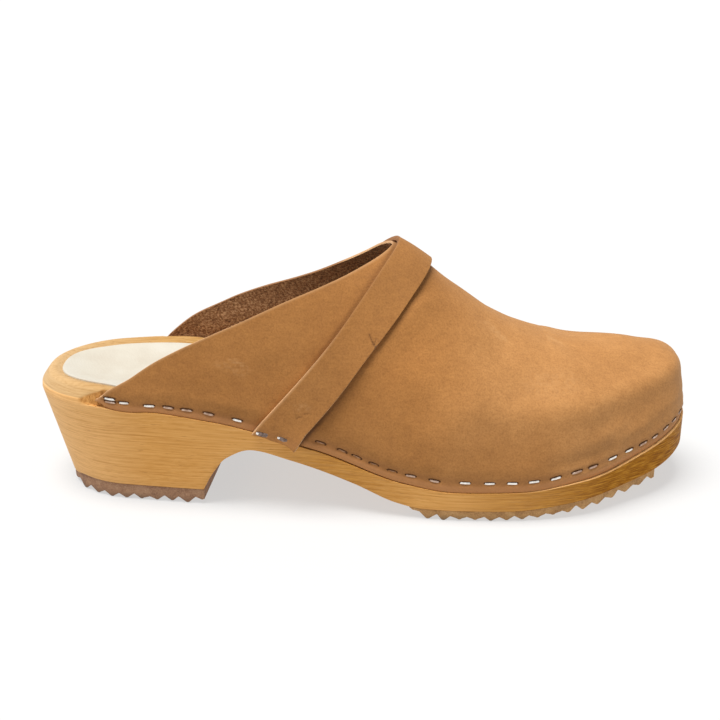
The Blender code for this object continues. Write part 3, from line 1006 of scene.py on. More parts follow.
def shadow_lens_shape(point, along, up, out, length, width):
    """A flat dark lens with blunt ends: painted shadow round the wire and over the slits of its legs."""
    rim = []
    for angle in np.linspace(0, 2 * pi, SHADOW_LENS_POINTS, endpoint=False):
        a, b = (np.sign(t) * abs(t) ** SHADOW_LENS_SQUARE for t in (cos(angle), sin(angle)))
        rim.append(point + length / 2 * a * along + width / 2 * b * up)
    points = np.array(rim + [point + SHADOW_LENS_ABOVE * out, point - SHADOW_LENS_BELOW * out])
    faces = []
    for i in range(SHADOW_LENS_POINTS):
        k = (i + 1) % SHADOW_LENS_POINTS
        faces += [[i, k, SHADOW_LENS_POINTS], [k, i, SHADOW_LENS_POINTS + 1]]
    return points, faces


def strap_seats():
    """Places of the staples on the strap's outer face, with directions along, up and out."""
    shaped, normals, sides, x, ups, _ = strap_shape()
    outer = shaped + STRAP_LEATHER * normals
    along = unit(np.gradient(outer, axis=1))
    seats = []
    for side in SIDES:
        for place, rise in STRAP_STAPLES:
            miss = np.hypot(x - place, ups - rise) + FAR * (sides != side)
            spot = np.unravel_index(np.argmin(miss), miss.shape)
            way, out = along[spot], normals[spot]
            seats.append((outer[spot], way, np.cross(out, way) * -side, out))
    return seats


class Gather:
    """Shapes gathered into the points and faces of one mesh, each with its finish."""

    def __init__(self):
        self.points, self.faces, self.kinds = [], [], []

    def add(self, shape, kind):
        corners, faces = shape
        count = sum(len(points) for points in self.points)
        self.points.append(corners)
        self.faces += [[corner + count for corner in face] for face in faces]
        self.kinds += [kind] * len(faces)


def drive_staple(gather, seat, draw, look, dent):
    """One staple with a dark lens of painted shadow round its crown, and for a deep one over the slits of
    its legs too.
    """
    point, along, up, out = seat
    # cut holds the sizes of the staple's lens of painted shadow
    kind, cut = WIRES[look], SHADOW_LENSES[look]
    length = kind.crown * draw.uniform(*LENGTH_VARIES)
    tilt = radians(draw.uniform(*TILT_VARIES))
    along, up = cos(tilt) * along + sin(tilt) * up, cos(tilt) * up - sin(tilt) * along
    ways = (along, up, out)
    point = point + draw.uniform(*RISE_VARIES) * up
    depth = dent - WIRE_PROUD + (DEEP_WIRE if look == DEEP else 0.0) + draw.uniform(*DEPTH_VARIES)
    gather.add(staple_shape(point - depth * out, *ways, length, kind.width), kind.finish)
    # painted highlight of bright wire at the rear bend of a shaded staple
    if look == SHADED:
        rear = point - (depth - GLINT_PROUD) * out - (length - GLINT.crown) / 2 * along
        gather.add(staple_shape(rear, *ways, GLINT.crown, GLINT.width), GLINT.finish)
    floor = point - (dent - SHADOW_LENS_PROUD) * out
    gather.add(shadow_lens_shape(floor + cut.shift * up, *ways, length + cut.beyond, cut.tall), SHADOW_LENS_FINISH)
    if look == DEEP:
        for end in (-1, 1):
            leg = floor + end * (length / 2 + LEG_SHADOW_BEYOND) * along
            gather.add(shadow_lens_shape(leg, *ways, *LEG_SHADOW), SHADOW_LENS_FINISH)


def make_staples(finishes):
    """All the staples as one piece: bright, dulled and shaded wire, and the dark lenses of painted shadow
    round them.
    """
    draw = np.random.default_rng(SEED)
    gather = Gather()
    seats = staple_seats()
    for side, x, rise, look in seats:
        drive_staple(gather, seat_frame(side, x, rise), draw, look, GROOVE_DEPTH + dent_depth(look))
    side, x, rise, _ = seats[0]
    drive_staple(gather, seat_frame(side, x, rise + DOUBLED_RISE), draw, BRIGHT, GROOVE_DEPTH)
    for seat in strap_seats():
        drive_staple(gather, seat, draw, SHADED, STRAP_DENT)
    mesh = solid_mesh("clog_staples", np.concatenate(gather.points), gather.faces, outward=True)
    mesh.polygons.foreach_set("material_index", np.array(gather.kinds, np.int32))
    add_piece("clog_staples", mesh, finishes)


# Wooden sole

def sole_ring():
    """The sole's outline once round from the back: x, side, plan points and inward normals."""
    heel_x = HEEL_POLE * (1 - round_end(HEEL_STEPS)[::-1])
    under_heel = np.linspace(HEEL_POLE, BREAST, UNDER_HEEL_STEPS + 1)
    breast = BREAST + BREAST_RUN * np.linspace(0, 1, BREAST_STEPS + 1)[1:] ** BREAST_CROWDING
    front = np.linspace(breast[-1], TOE_POLE, FRONT_STEPS + 1)
    half = np.concatenate([heel_x, under_heel[1:], breast, front[1:], toe_stations(TOE_STEPS)[1:]])
    x = np.concatenate([half, half[-2:0:-1]])
    side = np.concatenate([-np.ones(len(half)), np.ones(len(half) - 2)])
    plan = np.stack([x, edge(x, side)], axis=1)
    along = np.roll(plan, -1, axis=0) - np.roll(plan, 1, axis=0)
    inward = unit(np.stack([-along[:, 1], along[:, 0]], axis=1))
    return x, side, plan, inward


RING = sole_ring()
LIP_PLACES = np.linspace(0, LIPS[-1].place, LIP_STEPS + 1)


def ring_spine():
    """Point of the spine that each point of the outline turns about."""
    middle_x = np.clip(RING[0], HEEL_POLE, TOE_POLE)
    return np.stack([middle_x, spine(middle_x)], axis=1)


def breast_slant(x):
    """How far forward of the lateral side the medial side of the underside lies."""
    return BREAST_SLANT * ease(HEEL_POLE, BREAST, x) * fade(*SLANT_END_OVER, x)


def sole_base():
    """Outline of the wood's underside, leaning in from the sole's edge."""
    x, side, plan, inward = RING
    draft = SIDE_DRAFT * fade(UPRIGHT_FROM, LENGTH, x)
    base = plan + inward * (draft * (ledge(x) - underside(x)))[:, None]
    base[:, 0] += HEEL_RAKE * np.clip(1 - x / BREAST, 0, 1)
    base[:, 0] += np.where(side > 0, breast_slant(x), 0)
    return base


def past_notch():
    """How far each point of the outline lies past the end of the rebate, towards the toe."""
    x, side = RING[:2]
    return x - by_side(FLAP_END, side) + NOTCH_LEAD


def notch_way():
    """How far along the run-out of the rebate: 0 at the bare heel, 1 from the foot of the flap."""
    return np.clip(past_notch() / by_side(NOTCH_LENGTH, RING[1]) + 1, 0, 1)


def rebate_depth():
    seated = (REBATE - NOTCH_DEPTH) * ease(*NOTCH_SEAT_OVER, past_notch())
    return NOTCH_DEPTH * notch_way() ** NOTCH_POWER + seated


def lip_curves(place):
    return [smooth(LIPS, name)(place) for name in LIPS[0]._fields[1:]]


def lip_cut(place):
    """How far the rebate cuts into the bare rim at one place up it."""
    bare_inset, _, seated_inset, _ = lip_curves(place)
    cut = np.maximum(seated_inset - REBATE + rebate_depth() - bare_inset, 0)
    return np.where(notch_way() < 1, cut * ease(0, CORNER_PLACE, place), cut)


def lip_ring(place):
    """One ring of the footbed's rim, from its foot at place 0 to its inner edge."""
    x, side, plan, inward = RING
    bare_inset, bare_rise, _, seated_rise = lip_curves(place)
    way = notch_way()
    corner = lip_curves(CORNER_PLACE)[1]
    lowered = corner * min(place / CORNER_PLACE, fade(CORNER_PLACE, CORNER_FADE, place))
    rise = np.where(way < 1, bare_rise - lowered * ease(0, 1, way), seated_rise)
    across = bare_inset + lip_cut(place)
    return np.column_stack([plan + inward * across[:, None], foot(x, side) + rise])


def footbed_ring(share):
    """One ring of the dished footbed: share is 1 at the rim and 0 on the spine."""
    rim = lip_ring(LIPS[-1].place)
    middle = ring_spine()
    plan = middle + np.reshape(share, (-1, 1)) * (rim[:, :2] - middle)
    spine_rise = LIPS[-1].seated_rise - DISH
    rim_rise = rim[:, 2] - ledge(rim[:, 0])
    rise = spine_rise + share**2 * (rim_rise - spine_rise)
    return np.column_stack([plan, ledge(plan[:, 0]) + rise])


def base_ring(share, inset=0.0):
    """One ring of the underside: share is 1 at its edge and 0 on the spine."""
    x = RING[0]
    middle = ring_spine()
    middle[:, 0] += breast_slant(x) / 2
    plan = middle + share * (sole_base() + RING[3] * inset - middle)
    return np.column_stack([plan, underside(np.where(x > TOE_POLE, plan[:, 0], x))])


def side_ring(share, inset=0.0, lift=0.0):
    """One ring of the wood's side: share is 0 at the underside and 1 at the ledge."""
    x, side, plan, inward = RING
    low = base_ring(1.0)
    high = np.column_stack([plan, foot(x, side)])
    ring = low + share * (high - low)
    ring[:, :2] += inward * inset
    ring[:, 2] += lift
    return ring


def sole_rings():
    """Rings of the wood from under its spine round its side and rim to the footbed's spine."""
    turned_in = EDGE_ROUND * (1 - cos(pi / 4))
    outside = [base_ring(share, share * EDGE_ROUND) for share in BASE_SHARES]
    outside.append(side_ring(0.0, turned_in, turned_in))
    shares = sorted([*np.linspace(0, 1, SIDE_STEPS + 1), LIT_EDGE_SHARE])
    outside += [side_ring(share, lift=EDGE_ROUND * (1 - share)) for share in shares]
    rim = [lip_ring(place) for place in LIP_PLACES]
    footbed = [footbed_ring(share) for share in np.linspace(1, 0, FOOTBED_STEPS + 1)[1:]]
    return np.array(outside + rim + footbed), len(outside)


def sole_marks(shape, first_lip):
    """Where the rebate's cut face, the rim's painted shade, the painted highlight along the top edge and the
    painted shade on the front of the heel lie.
    """
    x = RING[0]
    marks = {name: np.zeros(shape) for name in ("cut", "rim", "lit_edge", "breast")}
    for i, place in enumerate(LIP_PLACES[LIP_PLACES < CUT_FACE_TO]):
        cut = np.clip(lip_cut(place) / CUT_FADE, 0, 1)
        marks["cut"][first_lip + i] = cut * (past_notch() < NOTCH_SEEN)
    marks["rim"][first_lip + RIM_FROM:] = 1.0
    marks["lit_edge"][first_lip - 1:first_lip + 1] = ease(*LIT_EDGE_OVER, x)
    # painted shade on the front of the heel
    dark = ease(BREAST - BREAST_EDGE, BREAST, x) * fade(*BREAST_DARK_OVER, x)
    marks["breast"][:len(BASE_SHARES)] = dark
    return marks


def make_wood_sole(finishes):
    """One block: underside, leaning side, rim with its rebate and dished footbed."""
    grid, first_lip = sole_rings()
    marks = sole_marks(grid.shape[:2], first_lip)
    mesh = sheet_mesh("clog_wood_sole", grid, closed=True, marks=marks)
    dark = [corner.value for corner in mesh.attributes["breast"].data]
    for face in mesh.polygons:
        face.material_index = round(min(dark[corner] for corner in face.vertices))
    add_piece("clog_wood_sole", mesh, finishes, "wood_sole")


# Rubber and pad

def slanted(plan, aslant):
    """Where lines aslant across the sole through points of its plan meet its outer side."""
    return plan[:, 0] - aslant * (plan[:, 1] + lateral(BREAST))


def tread_edges(along, aslant):
    """y of the rubber's outer and inner edge where lines aslant across the sole meet them."""
    ring = sole_base() + TREAD_INSET * RING[3]
    ring_along = slanted(ring, aslant)
    start = int(np.argmin(ring_along))
    ring = np.roll(ring, -start, axis=0)
    ring_along = np.roll(ring_along, -start)
    far = int(np.argmax(ring_along))
    outer = np.interp(along, ring_along[:far + 1], ring[:far + 1, 1])
    inner = np.interp(along, ring_along[:far - 1:-1], ring[:far - 1:-1, 1])
    return outer, inner


def tread_profile(start, end, draw):
    """Stations along a rubber and how far each is cut up: pointed teeth, not quite even."""
    teeth = round((end - start) / TOOTH_PITCH)
    pitch = (end - start - TOOTH_TIP) / teeth
    stations = []
    for i in range(teeth + 1):
        tip = start + i * pitch + TOOTH_TIP / 2
        wear = draw.uniform(0.0, TOOTH_WEAR)
        stations += [(tip + way, cut + wear) for way, cut in TOOTH_SHAPE]
        if i < teeth:
            valley = tip + pitch / 2 + draw.uniform(-TOOTH_WANDER, TOOTH_WANDER)
            deep = VALLEY_DEPTH * draw.uniform(*VALLEY_VARIES)
            stations += [(valley + way, deep - rise) for way, rise in VALLEY_SHAPE]
    return np.array(stations).T


def rubber_section(outer, inner, top, bottom):
    """Section across a rubber from its outer side to its inner one, as y and z."""
    width = inner - outer
    soft = min(TREAD_ROUND, width / 4)
    middle = (top + bottom) / 2
    section = [(outer, top), (outer, middle), (outer, bottom + soft), (outer + soft, bottom)]
    section += [(outer + share * width, bottom) for share in QUARTERS]
    return section + [(inner - soft, bottom), (inner, bottom + soft), (inner, middle), (inner, top)]


def make_rubber(name, replaced, reach, thickness, slant, ends, finish):
    """A ribbed sheet as wide as the wood above it, its ribs slanted this much in its width."""
    start, end = reach
    aslant = slant / (lateral(BREAST) + medial(BREAST))
    along, cut = tread_profile(start, end, np.random.default_rng(SEED + len(name)))
    back = slanted(sole_base(), aslant).min() + 2 * TREAD_INSET
    chosen = (along > back) & (along <= end)
    along = np.concatenate([[max(start, back)], along[chosen], [end]])
    high = underside(along) - SEAM
    low = underside(along) - GAP - thickness + np.pad(cut[chosen], 1, mode="edge")
    low += ends.rear_lift * np.clip(1 - (along - along[0]) / ends.rear_run, 0, 1)
    low += ends.front_lift * np.clip(1 - (end - along) / ends.front_run, 0, 1)
    low = np.minimum(low, high - TREAD_ROUND)
    rows = np.array([rubber_section(*row) for row in zip(*tread_edges(along, aslant), high, low)])
    x = along[:, None] + aslant * (rows[..., 0] + lateral(BREAST))
    points, faces = capped_tube(np.concatenate([x[..., None], rows], axis=-1))
    mesh = solid_mesh(name, points, faces, outward=True)
    add_piece(name, mesh, [finish], replaced)


def evened(line):
    """A line of points with its small kinks taken out by a running mean."""
    padded = np.pad(line, ((PAD_EVENED, PAD_EVENED), (0, 0)), mode="reflect", reflect_type="odd")
    share = np.full(2 * PAD_EVENED + 1, 1 / (2 * PAD_EVENED + 1))
    return np.stack([np.convolve(column, share, "valid") for column in padded.T], axis=1)


def make_heel_pad(finish):
    """A thin soft pad on the footbed, round at the back and cut straight in front."""
    x, side = RING[:2]
    behind = (x <= PAD_FRONT) & ((x <= BREAST) | (x > BREAST + PAD_SKIP))
    order = np.concatenate([np.flatnonzero(behind & (side > 0)), np.flatnonzero(behind & (side < 0))])
    top = [(share, PAD_EDGE[-1][1]) for share in np.linspace(PAD_TOP_FROM, 0, PAD_TOP_STEPS)]
    reach = 1 - PAD_NARROW * ease(*PAD_NARROW_OVER, x)
    rings = []
    for share, height in [*PAD_EDGE, *top]:
        ring = evened(footbed_ring(share * reach)[order])
        ring[:, 2] += HEEL_PAD * height
        rings.append(ring)
    mesh = sheet_mesh("clog_heel_pad", np.array(rings))
    add_piece("clog_heel_pad", mesh, [finish], "heel_pad")


# Finishes

NOISE_RANGE = (0.3, 0.7)  # between which most of a noise lies
FLESH_DARKENS = (48.0, 88.0)  # heights over which the flesh side grows darker
DIRT_FROM_TO = (3.2, 0.4)  # heights over which the rubber grows dirty
TRUNK_HEART = (0.0, 25.0, 95.0)  # added to a place to measure from the heart
TRUNK_LEAN = (0.05, 1.0, 1.0)
RING_RATE = 0.42  # how fast its bands follow on each other
GRAIN_DRIFT = (0.0, 14.0, 10.0)  # how far its grain wanders along each axis
PALE_HEEL = (-131.0, -85.0)  # where the wood changes its tone along the part's own x: paler at the heel, partly painted light; painted shade under the arch; darker at the toe, partly painted shade
WAIST = (-38.0, -18.0)
BALL = (20.0, -5.0)
DARK_TOE = (35.0, 95.0)


class Finish:
    """One material, with short calls that add nodes to it."""

    def __init__(self, name):
        self.material = bpy.data.materials.new(name)
        self.material.use_nodes = True
        self.tree = self.material.node_tree
        self.shader = self.tree.nodes["Principled BSDF"]
        coordinates = self.node("TexCoord").outputs
        self.place = self.vector("MULTIPLY", coordinates["Object"], (1 / MM, 1 / MM, 1 / MM))
        self.normal = coordinates["Normal"]

    def node(self, kind, inputs=None, **settings):
        """Add a node of a kind, with its settings and what goes into its inputs."""
        made = self.tree.nodes.new("ShaderNode" + kind)
        for name, value in settings.items():
            setattr(made, name, value)
        for name, value in (inputs or {}).items():
            self.put(made.inputs[name], value)
        return made

    def put(self, socket, value):
        """Link or set an input, where a plain colour comes as its three parts."""
        if isinstance(value, bpy.types.NodeSocket):
            self.tree.links.new(value, socket)
        elif socket.type == "RGBA":
            socket.default_value = (*value, 1.0)
        else:
            socket.default_value = value

    def set(self, **values):
        """Set the shader's own sockets, named with underscores for spaces."""
        for name, value in values.items():
            self.put(self.shader.inputs[name.replace("_", " ").title().replace("Ior", "IOR")], value)

    def vector(self, operation, a, b):
        return self.node("VectorMath", {0: a, 1: b}, operation=operation).outputs[0]

    def math(self, operation, a, b=0.0):
        return self.node("Math", {0: a, 1: b}, operation=operation).outputs[0]

    def times(self, a, b):
        return self.math("MULTIPLY", a, b)

    def blend(self, first, *others):
        """Sum of values, each given with its weight."""
        total = self.times(*first)
        for other in others:
            total = self.math("ADD", total, self.times(*other))
        return total

    def part(self, vector, axis):
        return self.node("SeparateXYZ", {0: vector}).outputs[axis]

    def noise(self, size, detail=2.0, rough=0.5, place=None):
        """Noise with lumps of about the given size in millimetres, or a size for each axis."""
        sizes = size if isinstance(size, tuple) else (size, size, size)
        scaled = self.vector("DIVIDE", place or self.place, sizes)
        inputs = {"Vector": scaled, "Scale": 1.0, "Detail": detail, "Roughness": rough}
        return self.node("TexNoise", inputs).outputs[0]

    def spread(self, value, low, high, to_low=0.0, to_high=1.0):
        inputs = {"Value": value, "From Min": low, "From Max": high, "To Min": to_low, "To Max": to_high}
        return self.node("MapRange", inputs).outputs[0]

    def ramp(self, value, *stops):
        """Colours at places along a value."""
        made = self.node("ValToRGB", {0: value})
        elements = made.color_ramp.elements
        while len(elements) < len(stops):
            elements.new(0.5)
        for element, (place, colour) in zip(elements, stops):
            element.position = place
            element.color = (*colour, 1.0)
        return made.outputs[0]

    def mix(self, share, a, b, blend="MIX"):
        """Two colours mixed: numbers 6, 7 and 2 are the colour sockets of that node."""
        inputs = {0: share, 6: a, 7: b}
        return self.node("Mix", inputs, data_type="RGBA", blend_type=blend).outputs[2]

    def tint(self, a, b):
        return self.mix(1.0, a, b, "MULTIPLY")

    def mark(self, name):
        return self.node("Attribute", attribute_name=name).outputs["Fac"]

    def bump(self, height, depth, under=None):
        """Relief whose full height is depth in millimetres."""
        inputs = {"Distance": depth * MM, "Height": height}
        if under:
            inputs["Normal"] = under
        return self.node("Bump", inputs).outputs[0]


def hide_colour(f, mottle, grain):
    """Tan of the hide in faint clouds with fine specks, darker and redder where painted shade is marked."""
    clouds = f.noise(20.0, detail=3.0)
    brushed = f.noise((6.0, 1.3, 1.3), detail=3.0, rough=0.6)
    blend = f.blend((clouds, 0.40), (mottle, 0.35), (brushed, 0.25))
    plain = f.ramp(
        blend,
        (0.32, (0.350, 0.158, 0.048)),
        (0.50, (0.420, 0.197, 0.063)),
        (0.68, (0.490, 0.240, 0.082)),
    )
    # darker, redder tan where painted shade is marked
    deep = f.ramp(blend, (0.32, (0.285, 0.115, 0.027)), (0.68, (0.385, 0.165, 0.042)))
    speck = f.ramp(grain, (0.30, (0.80, 0.79, 0.77)), (0.52, (1.0, 1.0, 1.0)), (0.75, (1.12, 1.13, 1.15)))
    return f.mix(f.mark("painted_shade"), f.tint(plain, speck), f.tint(deep, speck))


def nubuck():
    """Oiled tan nubuck: faint clouds, velvety grain, lighter scuffs, dark pressed lines partly of painted
    shade, and painted light and shade in patches, at the collar and along the strap.
    """
    f = Finish("tan_nubuck")
    mottle = f.noise(3.4, detail=4.0, rough=0.65)
    grain = f.noise(0.7, detail=3.0, rough=0.7)
    colour = hide_colour(f, mottle, grain)
    colour = f.mix(f.times(f.mark("band"), 0.6), colour, (0.47, 0.215, 0.085))
    # patches of the hide's own tone and of painted light and shade
    colour = f.tint(colour, f.math("ADD", f.mark("light"), 1.0))
    # pale band along the collar and the strap's rear edge: partly wear, partly painted highlight
    colour = f.mix(f.times(f.mark("wear_and_highlight"), 0.55), colour, (0.55, 0.310, 0.145))
    tone = f.mark("tone")
    patchy = f.spread(f.noise(1.6, detail=3.0), 0.35, 0.62)
    colour = f.mix(f.times(f.math("MAXIMUM", tone, 0.0), patchy), colour, (0.56, 0.31, 0.13))
    colour = f.mix(f.math("MAXIMUM", f.times(tone, -1.0), 0.0), colour, (0.07, 0.025, 0.010))
    # darker line of the staples: partly pressed leather, partly painted shade in the groove
    pressed_and_shaded = f.times(f.mark("press_and_shade"), f.spread(mottle, *NOISE_RANGE, 0.10, 0.45))
    colour = f.mix(pressed_and_shaded, colour, (0.27, 0.115, 0.045))
    # painted shadow along the strap's edges
    colour = f.mix(f.times(f.mark("strap_shadow"), 0.95), colour, (0.075, 0.028, 0.010))
    nap = f.bump(mottle, 0.12, f.bump(grain, 0.07))
    f.set(base_color=colour, roughness=f.spread(mottle, *NOISE_RANGE, 0.72, 0.88), normal=nap)
    f.set(sheen_weight=0.18, sheen_roughness=0.4, sheen_tint=(1.0, 0.74, 0.48), specular_ior_level=0.22)
    return f.material


def suede():
    """Flesh side of the leather: dark, rough and full of loose fibres."""
    f = Finish("brown_flesh_side")
    clumps = f.noise(2.2, detail=4.0, rough=0.7)
    fibre = f.noise((1.0, 0.7, 0.7), detail=3.0, rough=0.8)
    blend = f.blend((clumps, 0.18), (fibre, 0.82))
    colour = f.ramp(
        blend,
        (0.36, (0.085, 0.033, 0.012)),
        (0.50, (0.275, 0.125, 0.052)),
        (0.64, (0.560, 0.320, 0.160)),
    )
    faded = f.spread(f.part(f.place, "Z"), *FLESH_DARKENS, 1.25, 0.86)
    nap = f.bump(clumps, 0.3, f.bump(fibre, 0.35))
    f.set(base_color=f.tint(colour, faded), roughness=0.96, normal=nap)
    f.set(sheen_weight=0.20, sheen_roughness=0.6, sheen_tint=(0.85, 0.6, 0.42), specular_ior_level=0.15)
    return f.material


def cut_edge():
    """Raw cut edge of the leather: paler, with fine fibres along the cut."""
    f = Finish("raw_cut_edge")
    fibre = f.noise((0.9, 0.3, 0.3), detail=3.0, rough=0.6)
    colour = f.ramp(
        fibre,
        (0.30, (0.34, 0.170, 0.075)),
        (0.50, (0.52, 0.300, 0.150)),
        (0.72, (0.66, 0.430, 0.250)),
    )
    colour = f.mix(f.times(f.mark("dusk"), 0.8), colour, (0.21, 0.085, 0.030))
    f.set(base_color=colour, roughness=0.9, normal=f.bump(fibre, 0.15), specular_ior_level=0.2)
    return f.material


def growth_rings(f, bent):
    """Uneven bands of a trunk whose heart lies below and beside the sole."""
    lean = f.vector("MULTIPLY", f.vector("ADD", bent, TRUNK_HEART), TRUNK_LEAN)
    out = f.node("VectorMath", {0: lean}, operation="LENGTH").outputs["Value"]
    inputs = {"W": f.times(out, RING_RATE), "Detail": 3.0, "Roughness": 0.55}
    return f.node("TexNoise", inputs, noise_dimensions="1D").outputs[0]


def alder_colour(f, rings, fibre, fine, pores):
    """Honey colour in bands and streaks, with pores and warm patches, paler towards the back, partly its own
    tone and partly painted light.
    """
    colour = f.ramp(
        f.blend((rings, 0.45), (fibre, 0.55)),
        (0.30, (0.50, 0.230, 0.057)),
        (0.48, (0.64, 0.325, 0.096)),
        (0.70, (0.73, 0.405, 0.142)),
    )
    streak = f.ramp(fine, (0.34, (0.83, 0.77, 0.68)), (0.50, (1.02, 1.02, 1.02)), (0.7, (1.09, 1.11, 1.13)))
    colour = f.mix(0.9, colour, streak, "MULTIPLY")
    colour = f.mix(f.spread(pores, 0.30, 0.22), colour, (0.34, 0.150, 0.045))
    patches = f.noise((60.0, 20.0, 20.0))
    colour = f.mix(f.spread(patches, 0.42, 0.70, 0.0, 0.35), colour, (0.62, 0.300, 0.072))
    # paler towards the back: partly the wood's own tone, partly painted light
    behind = f.spread(f.part(f.place, "X"), *PALE_HEEL, 0.75, 0.0)
    return f.mix(behind, colour, f.tint(streak, (0.79, 0.495, 0.235)))


def speckled(f, colour, level):
    """The wood's colour, darker and speckled towards the toe, partly its end grain and partly painted shade,
    and a little darker under the arch as painted shade.
    """
    flecks = f.noise((8.0, 6.0, 0.45), detail=4.0, rough=0.70)
    speckle = f.ramp(
        f.mix(level, flecks, f.noise((11.0, 1.4, 0.62), detail=4.0)),
        (0.36, (0.18, 0.058, 0.004)),
        (0.50, (0.35, 0.135, 0.009)),
        (0.64, (0.53, 0.245, 0.029)),
    )
    along = f.part(f.place, "X")
    arch_painted_shade = f.times(f.times(f.spread(along, *WAIST), f.spread(along, *BALL)), 0.45)
    return f.mix(f.math("MAXIMUM", f.spread(along, *DARK_TOE), arch_painted_shade), colour, speckle)


def alder():
    """Alder: growth rings cut along the length, fine fibres, pores and warm patches."""
    f = Finish("honey_alder")
    drift = f.noise((140.0, 22.0, 16.0))
    push = f.vector("MULTIPLY", f.vector("SUBTRACT", drift, (0.5, 0.5, 0.5)), GRAIN_DRIFT)
    bent = f.vector("ADD", f.place, push)
    fibre = f.noise((30.0, 0.9, 0.7), detail=3.0, rough=0.6, place=bent)
    level = f.spread(f.math("ABSOLUTE", f.part(f.normal, "Z")), 0.50, 0.85)
    fine = f.noise((22.0, 12.0, 0.42), detail=3.0, rough=0.6)
    fine = f.mix(level, fine, f.noise((14.0, 0.9, 0.45), detail=3.0, rough=0.65))
    pores = f.mix(level, f.noise((5.0, 3.0, 0.34), detail=1.0), f.noise((3.2, 0.4, 0.36), detail=1.0))
    colour = speckled(f, alder_colour(f, growth_rings(f, bent), fibre, fine, pores), level)
    # painted shade that tones down the lit rim
    colour = f.mix(f.mark("rim"), colour, f.tint(colour, (0.69, 0.765, 0.89)))
    # painted highlight along the wood's top edge towards the toe
    colour = f.mix(f.times(f.mark("lit_edge"), 0.8), colour, (0.85, 0.52, 0.22))
    end_grain = f.ramp(
        f.noise((0.8, 0.8, 2.6), detail=3.0, rough=0.7),
        (0.34, (0.34, 0.145, 0.036)),
        (0.64, (0.58, 0.290, 0.088)),
    )
    colour = f.mix(f.mark("cut"), colour, end_grain)
    nap = f.bump(pores, 0.05, f.bump(fine, 0.04))
    f.set(base_color=colour, roughness=f.spread(fibre, *NOISE_RANGE, 0.45, 0.58), normal=nap)
    f.set(specular_ior_level=0.04)
    return f.material


def painted_shade_breast():
    """Front of the heel, cut across the grain, painted dark brown for the shade it lies in."""
    f = Finish("painted_shade_breast")
    lines = f.noise((2.0, 5.0, 0.5), detail=3.0, rough=0.6)
    colour = f.ramp(lines, (0.32, (0.050, 0.022, 0.006)), (0.68, (0.110, 0.052, 0.015)))
    f.set(base_color=colour, roughness=0.95, specular_ior_level=0.02)
    return f.material


def tread_rubber(name, dark, middle, light):
    """Brown rubber, dusty and a little scuffed."""
    f = Finish(name)
    dust = f.noise(4.0, detail=4.0, rough=0.65)
    grit = f.noise(0.5)
    blend = f.blend((dust, 0.65), (grit, 0.35))
    colour = f.ramp(blend, (0.32, dark), (0.50, middle), (0.70, light))
    dirt = f.times(f.spread(f.part(f.place, "Z"), *DIRT_FROM_TO), f.spread(dust, 0.36, 0.60))
    colour = f.mix(f.times(dirt, 0.75), colour, (0.060, 0.035, 0.022))
    f.set(base_color=colour, roughness=f.spread(dust, *NOISE_RANGE, 0.62, 0.85), normal=f.bump(grit, 0.12))
    f.set(specular_ior_level=0.35)
    return f.material


def pad_white():
    """Warm white coated pad with a fine pebbled skin and a few soft smudges."""
    f = Finish("cream_pad")
    smudge = f.noise(14.0, detail=3.0)
    cells = f.vector("DIVIDE", f.place, (0.9, 0.9, 0.9))
    pebble = f.node("TexVoronoi", {"Vector": cells, "Scale": 1.0}).outputs["Distance"]
    colour = f.ramp(
        smudge,
        (0.30, (0.50, 0.45, 0.37)),
        (0.50, (0.54, 0.50, 0.42)),
        (0.70, (0.57, 0.54, 0.47)),
    )
    nap = f.bump(pebble, 0.05)
    f.set(base_color=colour, roughness=0.5, normal=nap, coat_weight=0.08, coat_roughness=0.4)
    return f.material


def wire(name, dark, light, rough, metallic=0.8):
    """Staple wire, unevenly dulled."""
    f = Finish(name)
    dull = f.noise(1.2, detail=3.0)
    colour = f.ramp(dull, (0.35, dark), (0.65, light))
    f.set(base_color=colour, metallic=metallic, roughness=f.spread(dull, *NOISE_RANGE, rough, rough + 0.18))
    return f.material


def painted_staple_shadow():
    """Dark colour of the painted shadow round the staples and in the slits where the legs go in."""
    f = Finish("staple_shadow_lens")
    grain = f.noise(0.4)
    colour = f.ramp(grain, (0.3, (0.040, 0.016, 0.007)), (0.7, (0.125, 0.055, 0.024)))
    f.set(base_color=colour, roughness=0.95, specular_ior_level=0.1)
    return f.material


# Studio

FLOOR, COVE, WALL = 2400.0, 500.0, 560.0
COVE_STEPS, FLOOR_TURNS = 13, 96
FLOOR_GREY = (0.26, 0.26, 0.26)
FLOOR_GLOW = 0.56
WHITE = (1.0, 1.0, 1.0)
KEY_AZIMUTH, KEY_ELEVATION = radians(-70.0), radians(76.0)
KEY_WIDTH = radians(36.0)
KEY_STRENGTH = 4.5
KEY_COLOUR = (1.0, 0.985, 0.96)
WORLD_STRENGTH = 0.38


def make_floor():
    """A pale floor that sweeps up into a low wall all round, with a little light of its own."""
    cove = [(FLOOR + COVE * sin(a), COVE * (1 - cos(a))) for a in np.linspace(0, pi / 2, COVE_STEPS)]
    rows = [(0.0, 0.0), *cove, (FLOOR + COVE, WALL)]
    turns = np.linspace(0, 2 * pi, FLOOR_TURNS, endpoint=False)
    grid = np.array([[(r * cos(a), r * sin(a), z) for a in turns] for r, z in rows])
    mesh = sheet_mesh("studio_floor", grid, closed=True)
    f = Finish("studio_white")
    f.set(base_color=FLOOR_GREY, emission_color=WHITE, emission_strength=FLOOR_GLOW)
    f.set(roughness=0.9, specular_ior_level=0.1)
    mesh.materials.append(f.material)
    floor = bpy.data.objects.new("studio_floor", mesh)
    link(floor)


def towards(azimuth, elevation):
    """Direction from the shoe, whose outer side has azimuth 0."""
    return Vector((sin(azimuth) * cos(elevation), -cos(azimuth) * cos(elevation), sin(elevation)))


